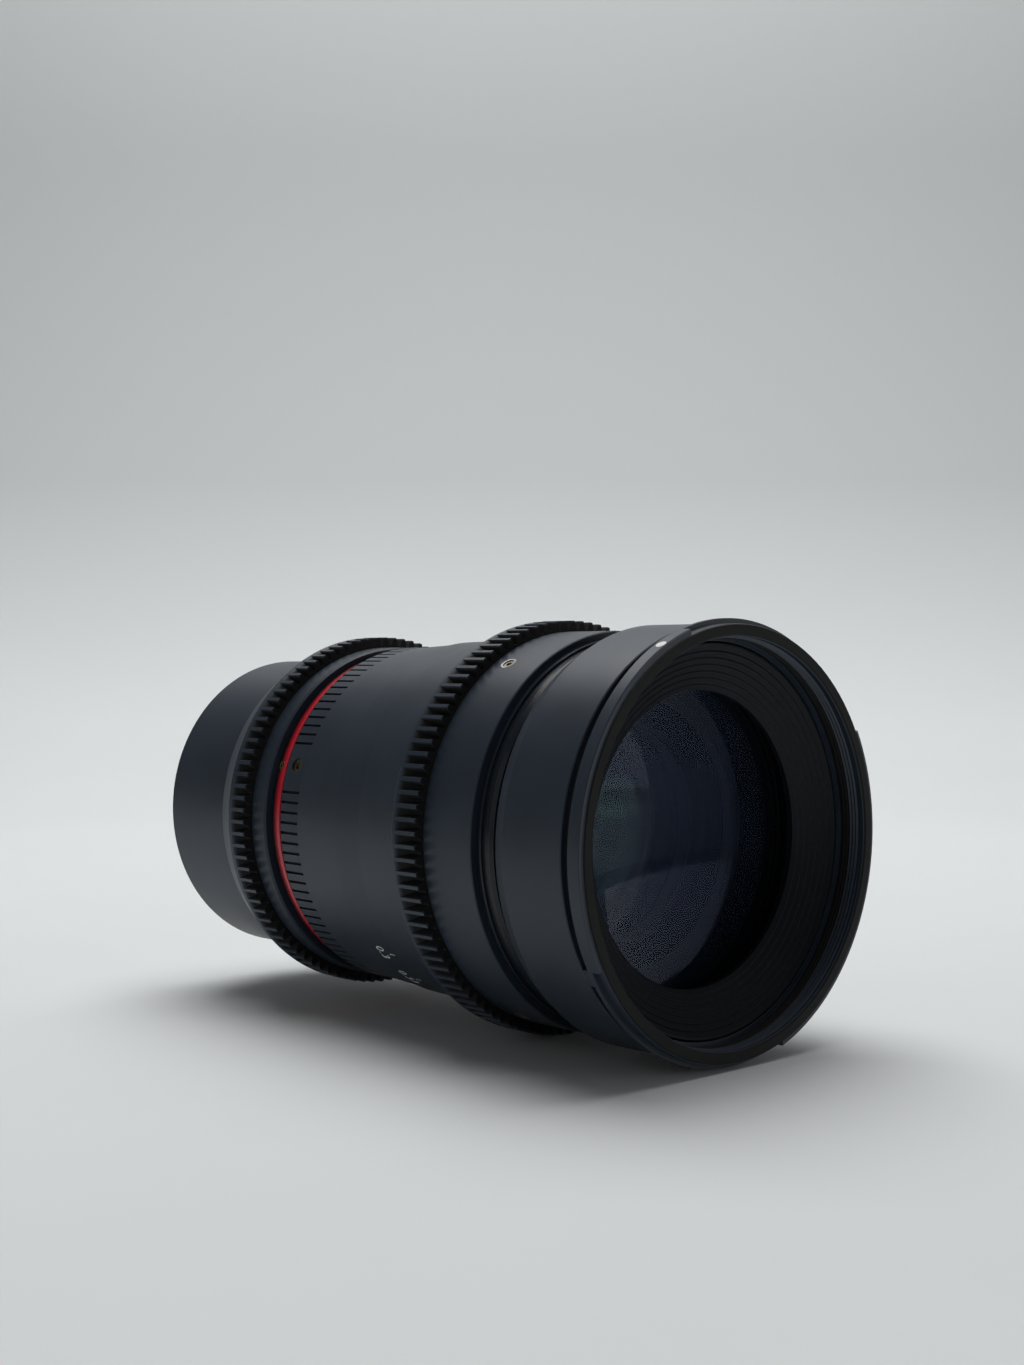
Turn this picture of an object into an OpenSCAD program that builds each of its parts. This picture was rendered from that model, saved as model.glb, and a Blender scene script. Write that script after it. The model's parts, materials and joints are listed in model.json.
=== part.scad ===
// Cinema prime lens with toothed focus and aperture rings, lying on its side.
// The optical axis runs along Y and the front glass faces -Y, with +Z up.
// The origin is the centre of the mount flange's rear face.

/* [Mount] */
// Step in from the rear barrel to the mount flange's edge
flange_step = 2.9; // [2:0.1:4]
// Thickness of the mount flange
flange_t = 2.5; // [2:0.1:3.5]
// How far the flange stands behind the rear barrel
flange_proud = 1; // [0.5:0.1:1.5]
// Outer radius of the bayonet spigot
spigot_r = 22; // [21:0.1:22.6]
// Wall of the bayonet spigot
spigot_wall = 1.6; // [1.2:0.1:2.2]
// Length of the spigot behind the flange
spigot_len = 6; // [5:0.1:7.5]
// How far the bayonet tabs stand out of the spigot
tab_rise = 1.8; // [1.2:0.1:2.2]
// Thickness of the bayonet tabs
tab_t = 1.6; // [1.2:0.1:2.2]
// Width of each bayonet tab in degrees
tab_angle = 44; // [30:1:60]
// Number of bayonet tabs
tabs = 3; // [3:1:4]
// Angle of the first tab's start from the top
tab_start = 40; // [0:1:89]
// Number of flange screws
flange_screws = 4; // [3:1:6]
// Flange screws' distance inside the flange's edge
flange_screw_inset = 3.3; // [2.8:0.1:3.6]
// Radius of a flange screw's countersunk head
flange_screw_head = 1.6; // [1.3:0.1:1.8]
// Radius of the hole for the camera's lock pin
lock_pin_r = 1.6; // [1.2:0.1:1.8]
// Angle of the lock pin's hole from the top
lock_pin_angle = 75; // [70:1:80]
// Width of the rear light baffle's window
window_w = 27; // [20:0.5:29]
// Height of the rear light baffle's window
window_h = 20; // [14:0.5:21]

/* [Rear barrel] */
// Visible length of the rear barrel
rear_len = 23.7; // [20:0.1:28]
// Thickness of the rear barrel's end wall
end_wall = 3.5; // [2.5:0.1:5]
// Room for the iris lever between the drive rod and the bearing tube
lever_room = 3.3; // [2.8:0.1:4.5]
// Wall of the bearing tube that carries the aperture ring
bearing_wall = 2.2; // [1.6:0.1:2.6]

/* [Aperture ring] */
// Length of the aperture ring
ap_len = 17.3; // [16:0.1:20]
// Wall of the aperture ring at its rear edge
ap_wall = 2; // [1.6:0.1:2.6]
// Wall of the plain band in front of the aperture teeth
ap_band_wall = 2.8; // [2.2:0.1:3]
// Wall of the aperture ring under its teeth
ap_gear_wall = 3.3; // [2.7:0.1:4]
// Where the gaps between the aperture teeth start, from the ring's rear edge
ap_teeth_from = 8.3; // [7.5:0.1:9]
// Where the aperture teeth end, from the ring's rear edge
ap_teeth_to = 12.7; // [12.6:0.1:14]
// Turn of the aperture ring in degrees
ap_turn = 65; // [50:1:68]

/* [Fixed barrel] */
// Width of the open groove between the aperture ring and the red ring
groove_w = 1.1; // [0.8:0.1:2]
// Width of the red ring
red_w = 4.2; // [3.4:0.1:5]
// Wall of the red ring at its crown
red_wall = 2.2; // [1.8:0.1:2.6]
// Visible length of the fixed barrel
fixed_len = 20.2; // [18:0.1:24]
// Wall of the fixed barrel at its rear edge
fixed_wall = 3.1; // [2.8:0.05:3.6]
// Step from the focus ring's scale down to the fixed barrel
fixed_step = 0.3; // [0:0.05:0.5]
// Radius of the red ring's set screws, as a part of its width
red_screw_size = 0.18; // [0.14:0.01:0.2]
// Place of the red ring's set screws across its width
red_screw_at = 0.28; // [0.26:0.01:0.5]
// Depth of the dark seam in front of the red ring
seam_depth = 0.7; // [0.5:0.05:0.9]
// Width of that seam, as a part of the red ring's width
seam_size = 0.22; // [0.15:0.01:0.3]
// Number of grip notches round the fixed barrel
notches = 108; // [60:3:120]
// Length of a grip notch
notch_len = 6; // [4:0.1:8]
// Width of a grip notch
notch_w = 0.6; // [0.4:0.05:0.9]
// Depth of a grip notch
notch_depth = 0.5; // [0.3:0.05:0.7]
// Radius of the barrel's set screws
set_screw_r = 1.5; // [1:0.1:1.8]
// Number of set screws in each ring of them
set_screws = 3; // [2:1:4]
// Angle of the first barrel screw from the top
barrel_screw_angle = 71; // [0:1:119]

/* [Focus ring] */
// Length of the focus ring
focus_len = 43.2; // [40:0.1:48]
// Width of the distance scale band
scale_w = 8; // [6:0.1:10]
// Wall of the focus ring at the distance scale
scale_wall = 1.2; // [1:0.05:1.6]
// Wall of the plain grip band in front of the teeth
grip_wall = 3.1; // [2.6:0.05:3.3]
// Wall of the focus ring under its teeth
focus_gear_wall = 3.5; // [3.2:0.1:4.5]
// Where the gaps between the focus teeth start, from the ring's rear edge
focus_teeth_from = 24; // [22:0.1:25]
// Where the focus teeth end, from the ring's rear edge
focus_teeth_to = 29.9; // [29:0.1:33]
// Turn of the focus ring in degrees
focus_turn = 150; // [120:1:152]
// Travel of the glass over the whole focus turn
focus_travel = 6; // [4:0.1:6.5]
// Angle of the first focus ring screw from the top
focus_screw_angle = 33; // [0:1:119]
// Focus ring screws' distance behind the ring's front edge
focus_screw_back = 9.2; // [7:0.1:10.5]
// Width of the two keys that drive the helicoid
key_w = 6; // [4:0.1:8]
// Length of the drive keys along the axis
key_len = 6; // [4:0.1:8]

/* [Gear teeth] */
// Gear module of both rings
gear_module = 0.8; // [0.6:0.1:1]
// Length over which the gaps between the teeth deepen
tooth_ramp = 3; // [2:0.1:3.5]
// Plain land at full height behind the aperture ring's gaps
ap_land = 1; // [0.6:0.1:2]
// Plain land at full height behind the focus ring's gaps
focus_land = 0.6; // [0.6:0.1:2]
// Slope of the focus ring behind that land, along the axis
tooth_rise = 4; // [2:0.1:5]

/* [Main sleeve] */
// Wall of the main sleeve that the focus ring turns on
sleeve_wall = 1.8; // [1.5:0.05:2.2]
// Wall of the brass helicoid ring
helicoid_wall = 1.5; // [1.2:0.05:1.8]
// Wall of the carriage that slides inside the helicoid
carriage_wall = 2.7; // [2.4:0.05:3.2]
// Length of the helicoid ring
helicoid_len = 26; // [20:0.1:28]
// Length of the guide ring in front of the helicoid
guide_len = 5; // [4:0.1:6]
// Width of the guide ring's three tongues
tongue_w = 4; // [3:0.1:6]

/* [Front barrel] */
// Length of the recessed neck behind the front barrel
neck_len = 6.4; // [5:0.1:8]
// Wall of the neck's rear trim ring
neck_wall = 2.1; // [1.6:0.05:2.6]
// Step down to the neck's front trim ring
neck_step = 0.6; // [0.3:0.05:0.8]
// Width of the neck's rear trim ring
neck_rear_w = 1.1; // [0.9:0.1:1.5]
// Width of the neck's front trim ring
neck_front_w = 2.5; // [2:0.1:3]
// Length of the front barrel's plain part
front_len = 18; // [16:0.1:22]
// Wall of the front barrel where it sits on the sleeve
front_wall = 4.4; // [4.1:0.05:5]
// Depth of the long bevel at the front barrel's rear edge
front_bevel = 1.4; // [0.8:0.1:2]
// Length of that bevel
bevel_len = 3.2; // [2:0.1:4]
// Length of the hood bayonet
bayonet_len = 5.8; // [5.4:0.1:6.4]
// Depth of the bayonet groove
hood_groove = 1.1; // [0.9:0.05:1.3]
// How far the hood lugs stand out of the front barrel
lug_rise = 1; // [0.6:0.05:1.1]
// Width of each hood lug in degrees
lug_angle = 100; // [90:1:105]
// Angle of the first lug's open end from the top
lug_start = 18.6; // [15:0.1:22]
// Wall between the front barrel's outside and the filter thread
rim_wall = 2.3; // [2:0.05:2.6]
// Length of the filter thread
filter_len = 5.8; // [5.2:0.1:6.2]
// Step from the filter thread in to the baffle's seat
baffle_inset = 0.9; // [0.7:0.05:1.1]
// Height of the baffle's seat
baffle_seat_len = 2.4; // [2:0.1:2.8]
// Width of the baffle's cone, from the filter thread to its opening
baffle_w = 10; // [9:0.1:11]
// Depth of the baffle's opening behind the lip
baffle_depth = 10; // [9.6:0.1:10.6]
// Ridges on the baffle
ridges = 7; // [5:1:9]
// Wall of the baffle cone
baffle_wall = 1.1; // [0.9:0.05:1.3]

/* [Iris] */
// Number of iris blades
blades = 8; // [6:1:8]
// Radius of the open iris
iris_open_r = 17; // [15:0.1:18]
// Width of a blade
blade_w = 5; // [4.6:0.1:5]
// Thickness of a blade
blade_t = 0.15; // [0.1:0.01:0.18]
// Step from one blade to the next along the axis
blade_step = 0.3; // [0.26:0.01:0.35]
// Arc that a blade spans in degrees
blade_arc = 106; // [95:1:110]
// Turn of a blade from open to closed in degrees
blade_turn = 40; // [34:1:41]
// Turn of the set of blades from the top in degrees
blade_start = 30; // [20:1:32]
// Distance from a blade's pivot to its drive pin
pin_arm = 5.6; // [5.4:0.05:5.8]
// Radius of the pivots and drive pins
pin_r = 0.5; // [0.4:0.02:0.55]
// Radius of the iris ring's drive rod
rod_r = 0.9; // [0.7:0.05:1]

/* [Glass] */
// Depth of the front glass's visible edge behind the lip
glass_depth = 19.7; // [18.9:0.1:20.4]
// Radius of the front glass's outer curve
front_R = 85; // [75:1:110]
// Wall of the carriage round the front glass
flare_wall = 1.15; // [1:0.05:1.4]
// Rim radius of the second glass
second_rim = 27; // [26:0.1:28]
// Rim radius of the last glass
last_rim = 20; // [19.6:0.1:20.6]
// Wall of the front cell round the second glass
cell_wall = 2.35; // [2:0.05:2.8]
// Wall of the rear cell round the last glass
rear_wall = 4; // [2.5:0.1:4.5]
// How far each retaining ring laps over its glass
lap = 0.6; // [0.4:0.05:0.8]

/* [Clearances] */
// Gap between pieces that turn or slide on each other
run = 0.3; // [0.2:0.05:0.35]
// Gap between fixed pieces that seat in each other
seat = 0.05; // [0.02:0.01:0.08]
// Gap between the end faces of a turning ring and its neighbour
end_gap = 0.15; // [0.1:0.01:0.25]

/* [Hidden] */
$fn = 144;
eps = 0.01;
edge = 0.4;
fine_edge = 0.1;
screw_sink = 0.15;
screw_head_t = 0.85;
screw_bite = 2;
hex_size = 0.55;

// Stations along the axis, from the flange towards the front
rear_t = flange_proud;
ap_t = rear_t + rear_len;
ap_front_t = ap_t + ap_len;
red_t = ap_front_t + groove_w;
fixed_t = red_t + red_w;
focus_t = fixed_t + fixed_len;
focus_front_t = focus_t + focus_len;
neck_front_t = focus_front_t + neck_len;
front_front_t = neck_front_t + front_len;
lip_t = front_front_t + bayonet_len;

// Iris drive: a blade's pivot, its drive pin and the slot for that pin
pin_gap = 0.4;
pivot_ring = iris_open_r + blade_w + pin_r + pin_gap;
pin_start = 50;
slot_steps = 12;
slot_half = pin_r + run;
slot_rim = 1.2;
ear_r = 1.4;

// Radii from the glass and the iris outwards
chamber_step = 0.1;
cell_r = second_rim + cell_wall;
carriage_in = max(cell_r + seat, norm(pin_at(0)) + slot_half + slot_rim + run + chamber_step);
carriage_r = carriage_in + carriage_wall;
helicoid_in = carriage_r + run;
helicoid_r = helicoid_in + helicoid_wall;
sleeve_in = helicoid_r + run;
sleeve_r = sleeve_in + sleeve_wall;
shoulder_in = helicoid_in + 0.2;
scale_r = sleeve_r + run + scale_wall;
grip_r = sleeve_r + run + grip_wall;
neck_r = sleeve_r + neck_wall;
front_r = sleeve_r + front_wall;
core_r = front_r - hood_groove;
lug_r = front_r + lug_rise;
filter_r = front_r - rim_wall;
baffle_r = filter_r - baffle_inset;
baffle_open_r = filter_r - baffle_w;

// Radii of the iris ring and the rear half
chamber_r = carriage_in - chamber_step;
iris_ring_r = chamber_r - run;
iris_ring_in = pivot_ring - slot_half - slot_rim;
rod_ring = chamber_r - 1.4;
bearing_in = rod_ring + lever_room;
bearing_r = bearing_in + bearing_wall;
rear_r = bearing_r;
flange_r = rear_r - flange_step;
flange_screw_ring = flange_r - flange_screw_inset;
spigot_in = spigot_r - spigot_wall;
ap_r = bearing_r + run + ap_wall;
ap_band_r = bearing_r + run + ap_band_wall;
red_r = bearing_r + red_wall;
red_screw_t = red_t + red_w * red_screw_at;
red_screw_r = red_w * red_screw_size;
fixed_r = bearing_r + fixed_wall;
fixed_front_r = scale_r - fixed_step;
rear_cell_r = last_rim + rear_wall;

// Gear teeth, as many as the wall under them carries
ap_teeth = round(2 * ((bearing_r + run + ap_gear_wall) / gear_module + 1.25));
focus_teeth = round(2 * ((sleeve_r + run + focus_gear_wall) / gear_module + 1.25));
tooth_depth = 2.25 * gear_module;
function tip_r(teeth) = gear_module * (teeth + 2) / 2;
function root_r(teeth) = tip_r(teeth) - tooth_depth;

// Helicoid, guide ring and keys
shoulder_len = 10;
helicoid_t = focus_t + shoulder_len + run;
helicoid_front_t = helicoid_t + helicoid_len;
guide_t = helicoid_front_t + run;
guide_front_t = guide_t + guide_len;
key_t = helicoid_t + helicoid_len / 2;
key_bite = 0.7;
tongue_in = carriage_r - 1.1;
tongues = 3;

// Carriage: its rear end sits at the start of the focus ring
carriage_t = focus_t - 1.5;
cover_t = 1.5;
chamber_t = carriage_t + cover_t;
iris_ring_t = chamber_t + run;
iris_ring_w = 1;
blade_base_t = iris_ring_t + iris_ring_w + run;
chamber_front_t = blade_base_t + blades * blade_step + run;
iris_wall = 2.8;
pivot_deep = 1.6;
cover_r = chamber_r + 1.3;
cell_t = chamber_front_t + iris_wall;
flare_t = guide_front_t + run;
flare_r = sleeve_in - run - chamber_step;

// Front glass and its seat in the carriage
glass_t = lip_t - glass_depth;
retainer_r = flare_r - flare_wall - seat;
rim_1 = retainer_r - lap;
glass_r = rim_1 - lap;
vertex_1 = glass_t + sag(front_R, glass_r);
retainer_t = glass_t + seat;
carriage_front_t = retainer_t + 2.6;

// Optical layout, from the front: rim radius, centre thickness, front and rear
// radius of curvature, air behind, and the radius of a hollow face's bowl.
// A positive radius has its centre to the rear.
front_glass = [
  [rim_1, 3.2, front_R, 38, 11, second_rim],
  [second_rim, 2.8, 62, 32, 8.5, 22],
  [23, 7.5, 120, -75, 1.5, 21],
  [22, 2, -80, 70, seat, 20],
  [22, 10.5, 70, -48, 0, 20]];
rear_glass = [
  [18.5, 1.8, -42, 55, seat, 17],
  [18.5, 8, 55, -50, 0.8, 17],
  [19, 5.5, 80, -90, 1.2, 17.5],
  [19.5, 7.5, 65, -60, seat, 18],
  [19.5, 1.8, -60, 90, 4.6, 18],
  [last_rim, 3.5, -70, -55, 0, 18.5]];
GLASS = concat(front_glass, rear_glass);
fronts = len(front_glass);
stop_air = 4.5;
rear_thread_r = GLASS[len(GLASS) - 1][0] + lap;
rear_ring_in = GLASS[len(GLASS) - 1][5];
rear_lock_t = rear_face(len(GLASS) - 1, rear_ring_in);
rear_end_t = back(len(GLASS) - 1) - edge;

// Front and rear vertex of each glass, counted from 0 at the front
function vertex(i) = i == 0 ? vertex_1 : i == fronts ? carriage_t - stop_air : back(i - 1) - GLASS[i - 1][4];
function back(i) = vertex(i) - GLASS[i][1];

// Level of a glass's front or rear face at radius r, with a hollow face's flat rim
function front_face(i, r) = let (R = GLASS[i][2])
  R > 0 ? vertex(i) - sag(R, r) : vertex(i) + sag(R, min(r, GLASS[i][5]));
function rear_face(i, r) = let (R = GLASS[i][3])
  R > 0 ? back(i) - sag(R, min(r, GLASS[i][5])) : back(i) + sag(R, r);

// Lever of the aperture ring and the iris ring's rod in its fork
lever_angle = 205;
lever_half_w = 3;
lever_bite = 1;
lever_t = ap_t + ap_teeth_from + edge;
lever_len = 4;
prong_half = 1.5;
fork_gap = 6;
fork_end_t = carriage_t - fork_gap;
rod_end_t = fork_end_t - focus_travel - 2;

// Neck trim rings
neck_t = focus_front_t + end_gap;
neck_step_t = neck_t + neck_rear_w;
sleeve_bite = 5;
sleeve_front_t = neck_front_t + sleeve_bite;

// Shared shapes

// Stands what is built along +Z with its front towards -Y.
module on_axis() { rotate([90, 0, 0]) children(); }

// Copies its children round the axis, counted from the top.
module around(count, first = 0) {
  for (i = [0:count - 1]) rotate([0, 0, first + i * 360 / count]) children();
}

module tube(t0, t1, outer, inner) {
  rotate_extrude() translate([inner, t0]) square([outer - inner, t1 - t0]);
}

module sector(t0, t1, outer, inner, a0, a1) {
  rotate([0, 0, 90 + a0])
    rotate_extrude(angle = a1 - a0)
      translate([inner, t0]) square([outer - inner, t1 - t0]);
}

module turned(profile) { rotate_extrude() polygon(profile); }

// A round rod that points outwards, from radius r0 to r1.
module radial_rod(t, r0, r1, r) {
  translate([0, r0, t]) rotate([-90, 0, 0]) cylinder(h = r1 - r0, r = r);
}

// A block standing on the radius, centred on the top.
module radial_block(t0, t1, r0, r1, w) {
  translate([-w / 2, r0, t0]) cube([w, r1 - r0, t1 - t0]);
}

function sag(R, r) = abs(R) - sqrt(R * R - r * r);
function at(r, a) = [-r * sin(a), r * cos(a)];

// Outline of a gear with straight-sided teeth, cut to the pitch and pressure angle.
module gear_outline(teeth) {
  tip = tip_r(teeth);
  root = root_r(teeth);
  quarter = PI * gear_module / 4;
  slope = tan(20);
  tip_half = (quarter - gear_module * slope) / tip * 180 / PI;
  root_half = (quarter + 1.25 * gear_module * slope) / root * 180 / PI;
  polygon([for (i = [0:teeth - 1], k = [0:3])
    at(k == 0 || k == 3 ? root : tip,
       i * 360 / teeth + (k < 2 ? -1 : 1) * (k == 0 || k == 3 ? root_half : tip_half))]);
}

// A band of teeth; the ring under it fills the gaps with a slope at their rear end.
module gear_band(teeth, t0, t1, bore) {
  translate([0, 0, t0 - fine_edge]) linear_extrude(t1 - t0 + fine_edge) difference() {
    gear_outline(teeth);
    circle(bore);
  }
}

// Mount

module mount_flange() color("silver") on_axis() difference() {
  union() {
    tube(0, flange_t, flange_r, spigot_in);
    tube(-spigot_len, eps, spigot_r, spigot_in);
    around(tabs, tab_start)
      sector(edge - spigot_len, edge + tab_t - spigot_len, spigot_r + tab_rise,
             spigot_r - spigot_wall / 2, 0, tab_angle);
  }
  tube(-eps, 0.8, spigot_r + tab_rise + run, spigot_r);
  around(flange_screws, 45) translate([0, flange_screw_ring, 0]) {
    translate([0, 0, -eps]) cylinder(h = screw_sink + screw_head_t + seat, r = flange_screw_head + seat);
    cylinder(h = flange_t + 1, r = flange_screw_head / 2 + seat);
  }
  rotate([0, 0, lock_pin_angle]) translate([0, flange_screw_ring, -1])
    cylinder(h = 1 + flange_t * 0.7, r = lock_pin_r);
}

module mount_screws() color("gray") on_axis()
  around(flange_screws, 45) translate([0, flange_screw_ring, 0]) difference() {
    union() {
      translate([0, 0, screw_sink]) cylinder(h = screw_head_t, r = flange_screw_head);
      translate([0, 0, screw_sink + eps]) cylinder(h = flange_t + screw_bite, r = flange_screw_head / 2);
    }
    for (a = [0, 90]) rotate([0, 0, a]) translate([0, 0, screw_sink])
      cube([flange_screw_head * 1.2, 0.4, screw_head_t], center = true);
  }

module rear_light_baffle() color("black") on_axis() difference() {
  union() {
    tube(1 - spigot_len, flange_t + end_wall, spigot_in - seat, spigot_in - 1.4);
    translate([0, 0, 1 - spigot_len]) cylinder(h = 1.2, r = spigot_in - seat);
  }
  cube([window_w, window_h, 4 * spigot_len], center = true);
}

// Rear barrel and aperture ring

module rear_barrel() color("dimgray") on_axis() difference() {
  wall_t = flange_t + end_wall;
  foot_t = fixed_t + end_wall;
  turned([[spigot_in + seat, flange_t], [flange_r + seat, flange_t], [flange_r + seat, rear_t],
          [rear_r - edge, rear_t], [rear_r, rear_t + edge],
          [bearing_r, foot_t], [bearing_in, foot_t], [bearing_in, wall_t], [spigot_in + seat, wall_t]]);
  around(flange_screws, 45) translate([0, flange_screw_ring, 0])
    cylinder(h = flange_t + screw_bite + 2 * screw_sink, r = flange_screw_head / 2 + seat);
  half = asin((lever_half_w + run) / bearing_in);
  sector(lever_t - run, lever_t + lever_len + run, bearing_r + 1, bearing_in - 1,
         lever_angle - half, lever_angle + ap_turn + half);
}

module aperture_ring() color("dimgray") on_axis() difference() {
  teeth_t = ap_t + ap_teeth_from;
  teeth_end_t = ap_t + ap_teeth_to;
  crest = tip_r(ap_teeth) - seat;
  core = root_r(ap_teeth) - fine_edge;
  union() {
    turned([[bearing_r + run, ap_t], [ap_r - edge, ap_t], [ap_r, ap_t + edge],
            [crest, teeth_t - ap_land], [crest, teeth_t], [core, teeth_t + tooth_ramp],
            [core, teeth_end_t - edge], [ap_band_r, teeth_end_t - edge], [ap_band_r, ap_front_t - edge],
            [ap_band_r - edge, ap_front_t], [bearing_r + run, ap_front_t]]);
    gear_band(ap_teeth, teeth_t, teeth_end_t, bearing_r + 2 * run);
  }
  rotate([0, 0, lever_angle])
    radial_block(lever_t - seat, lever_t + lever_len + seat, bearing_r, bearing_r + run + lever_bite + seat,
                 2 * (lever_half_w + seat));
}

module iris_lever() color("goldenrod") on_axis() rotate([0, 0, lever_angle]) {
  prong_in = rod_ring - prong_half;
  prong_out = rod_ring + prong_half;
  difference() {
    union() {
      radial_block(lever_t, lever_t + lever_len, prong_in, bearing_r + run + lever_bite, 2 * lever_half_w);
      radial_block(lever_t, fork_end_t, prong_in, prong_out, 2 * lever_half_w);
    }
    radial_block(lever_t + lever_len, fork_end_t + 1, prong_in - 1, prong_out + 1, 2 * (rod_r + run));
  }
}

// Fixed barrel

module red_ring() color("firebrick") on_axis() difference() {
  seam_t = fixed_t - red_w * seam_size;
  turned([[bearing_r + seat, red_t], [red_r - edge, red_t], [red_r, red_t + red_w / 2],
          [red_r, seam_t - edge], [red_r - seam_depth, seam_t], [red_r - seam_depth, fixed_t],
          [bearing_r + seat, fixed_t]]);
  around(set_screws, barrel_screw_angle)
    radial_rod(red_screw_t, bearing_r - 1, red_r + 1, red_screw_r + seat);
}

module red_ring_screws() color("peru") on_axis() around(set_screws, barrel_screw_angle)
  difference() {
    radial_rod(red_screw_t, bearing_r + 2 * seat, red_r - 2 * edge, red_screw_r);
    translate([0, red_r - edge, red_screw_t])
      rotate([90, 30, 0]) cylinder(h = 2, r = red_screw_r * hex_size, center = true, $fn = 6);
  }

// Grip band: a ring of notches, plain on both sides of each set screw.
module notched_outline() {
  step = 360 / notches;
  half = asin(notch_w / 2 / fixed_r);
  plain = 2 * step;
  function cut(i) = let (a = (i * step - barrel_screw_angle) % (360 / set_screws),
                         b = a < 0 ? a + 360 / set_screws : a)
    min(b, 360 / set_screws - b) < plain ? 0 : notch_depth;
  polygon([for (i = [0:notches - 1], k = [0:3])
    at(fixed_r - seat - (k == 1 || k == 2 ? cut(i) : 0), i * step + (k < 2 ? -half : half))]);
}

module fixed_barrel() color("dimgray") on_axis() difference() {
  core = fixed_r - notch_depth - edge;
  notch_t = fixed_t + edge;
  notch_end_t = notch_t + notch_len;
  step_t = focus_t - end_gap;
  shoulder_t = focus_t + edge;
  union() {
    turned([[bearing_r + seat, fixed_t], [fixed_r - edge, fixed_t], [fixed_r, notch_t],
            [core, notch_t], [core, notch_end_t], [fixed_r, notch_end_t],
            [fixed_front_r, step_t - fine_edge], [fixed_front_r - fine_edge, step_t], [sleeve_r, step_t],
            [sleeve_r, sleeve_front_t], [sleeve_in, sleeve_front_t],
            [sleeve_in, helicoid_t - run], [shoulder_in, helicoid_t - run],
            [shoulder_in, shoulder_t], [bearing_r + seat, shoulder_t]]);
    translate([0, 0, notch_t]) linear_extrude(notch_len) difference() {
      notched_outline();
      circle(core - edge);
    }
  }
  around(set_screws, barrel_screw_angle)
    radial_rod(notch_t + notch_len / 2, bearing_r - 1, fixed_front_r + 1, set_screw_r + seat);
  half = asin((key_w / 2 + run) / sleeve_in);
  for (a = [90, 270])
    sector(key_t - key_len / 2 - run, key_t + key_len / 2 + run, sleeve_r + 1, sleeve_in - 1,
           a - half, a + focus_turn + half);
}

module barrel_set_screws() color("peru") on_axis() around(set_screws, barrel_screw_angle)
  difference() {
    radial_rod(fixed_t + edge + notch_len / 2, bearing_r + 2 * seat, fixed_r - 0.5, set_screw_r);
    translate([0, fixed_r, fixed_t + edge + notch_len / 2])
      rotate([90, 30, 0]) cylinder(h = 2, r = set_screw_r * hex_size, center = true, $fn = 6);
  }

// Focus ring and helicoid

module focus_ring() color("dimgray") on_axis() difference() {
  teeth_t = focus_t + focus_teeth_from;
  teeth_end_t = focus_t + focus_teeth_to;
  crest = tip_r(focus_teeth) - seat;
  core = root_r(focus_teeth) - fine_edge;
  land_t = teeth_t - focus_land;
  bore = sleeve_r + run;
  union() {
    turned([[bore, focus_t], [scale_r - fine_edge, focus_t], [scale_r, focus_t + fine_edge],
            [scale_r + edge / 2, focus_t + scale_w], [(scale_r + grip_r) / 2, land_t - tooth_rise],
            [crest, land_t], [crest, teeth_t], [core, teeth_t + tooth_ramp],
            [core, teeth_end_t - edge], [grip_r, teeth_end_t - edge], [grip_r, focus_front_t - edge / 2],
            [grip_r - edge / 2, focus_front_t], [bore, focus_front_t]]);
    gear_band(focus_teeth, teeth_t, teeth_end_t, bore + edge);
  }
  around(set_screws, focus_screw_angle)
    radial_rod(focus_front_t - focus_screw_back, bore - 1, grip_r + 1, set_screw_r * 0.8 + seat);
  for (a = [90, 270]) rotate([0, 0, a])
    radial_block(key_t - key_len / 2 - seat, key_t + key_len / 2 + seat,
                 bore - 1, bore + key_bite + seat, key_w + 2 * seat);
}

module focus_ring_screws() color("peru") on_axis() around(set_screws, focus_screw_angle)
  difference() {
    screw_t = focus_front_t - focus_screw_back;
    radial_rod(screw_t, sleeve_r + run, grip_r - 0.6, set_screw_r * 0.8);
    translate([0, grip_r, screw_t])
      rotate([90, 30, 0]) cylinder(h = 2.4, r = set_screw_r * 0.45, center = true, $fn = 6);
  }

module focus_drive_keys() color("silver") on_axis() for (a = [90, 270]) rotate([0, 0, a])
  radial_block(key_t - key_len / 2, key_t + key_len / 2,
               helicoid_r - key_bite, sleeve_r + run + key_bite, key_w);

module helicoid_ring() color("goldenrod") on_axis() difference() {
  tube(helicoid_t, helicoid_front_t, helicoid_r, helicoid_in);
  for (a = [90, 270]) rotate([0, 0, a])
    radial_block(key_t - key_len / 2 - seat, key_t + key_len / 2 + seat,
                 helicoid_r - key_bite - seat, helicoid_r + 1, key_w + 2 * seat);
}

module guide_ring() color("silver") on_axis() {
  tube(guide_t, guide_front_t, sleeve_in - seat, shoulder_in);
  around(tongues) intersection() {
    radial_block(guide_t, guide_front_t, tongue_in, shoulder_in + edge, tongue_w);
    tube(guide_t, guide_front_t, shoulder_in + edge, tongue_in);
  }
}

// Neck and front barrel

module neck_ring_rear() color("black") on_axis()
  turned([[sleeve_r + seat, neck_t], [neck_r - edge / 2, neck_t], [neck_r, neck_t + edge / 2],
          [neck_r, neck_step_t - edge / 2], [neck_r - edge / 2, neck_step_t],
          [sleeve_r + seat, neck_step_t]]);

module neck_ring_front() color("black") on_axis() {
  end_t = neck_step_t + neck_front_w;
  top = neck_r - neck_step;
  turned([[sleeve_r + seat, neck_step_t], [top, neck_step_t], [top, end_t - 2 * edge],
          [top - edge, end_t], [sleeve_r + seat, end_t]]);
}

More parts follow.
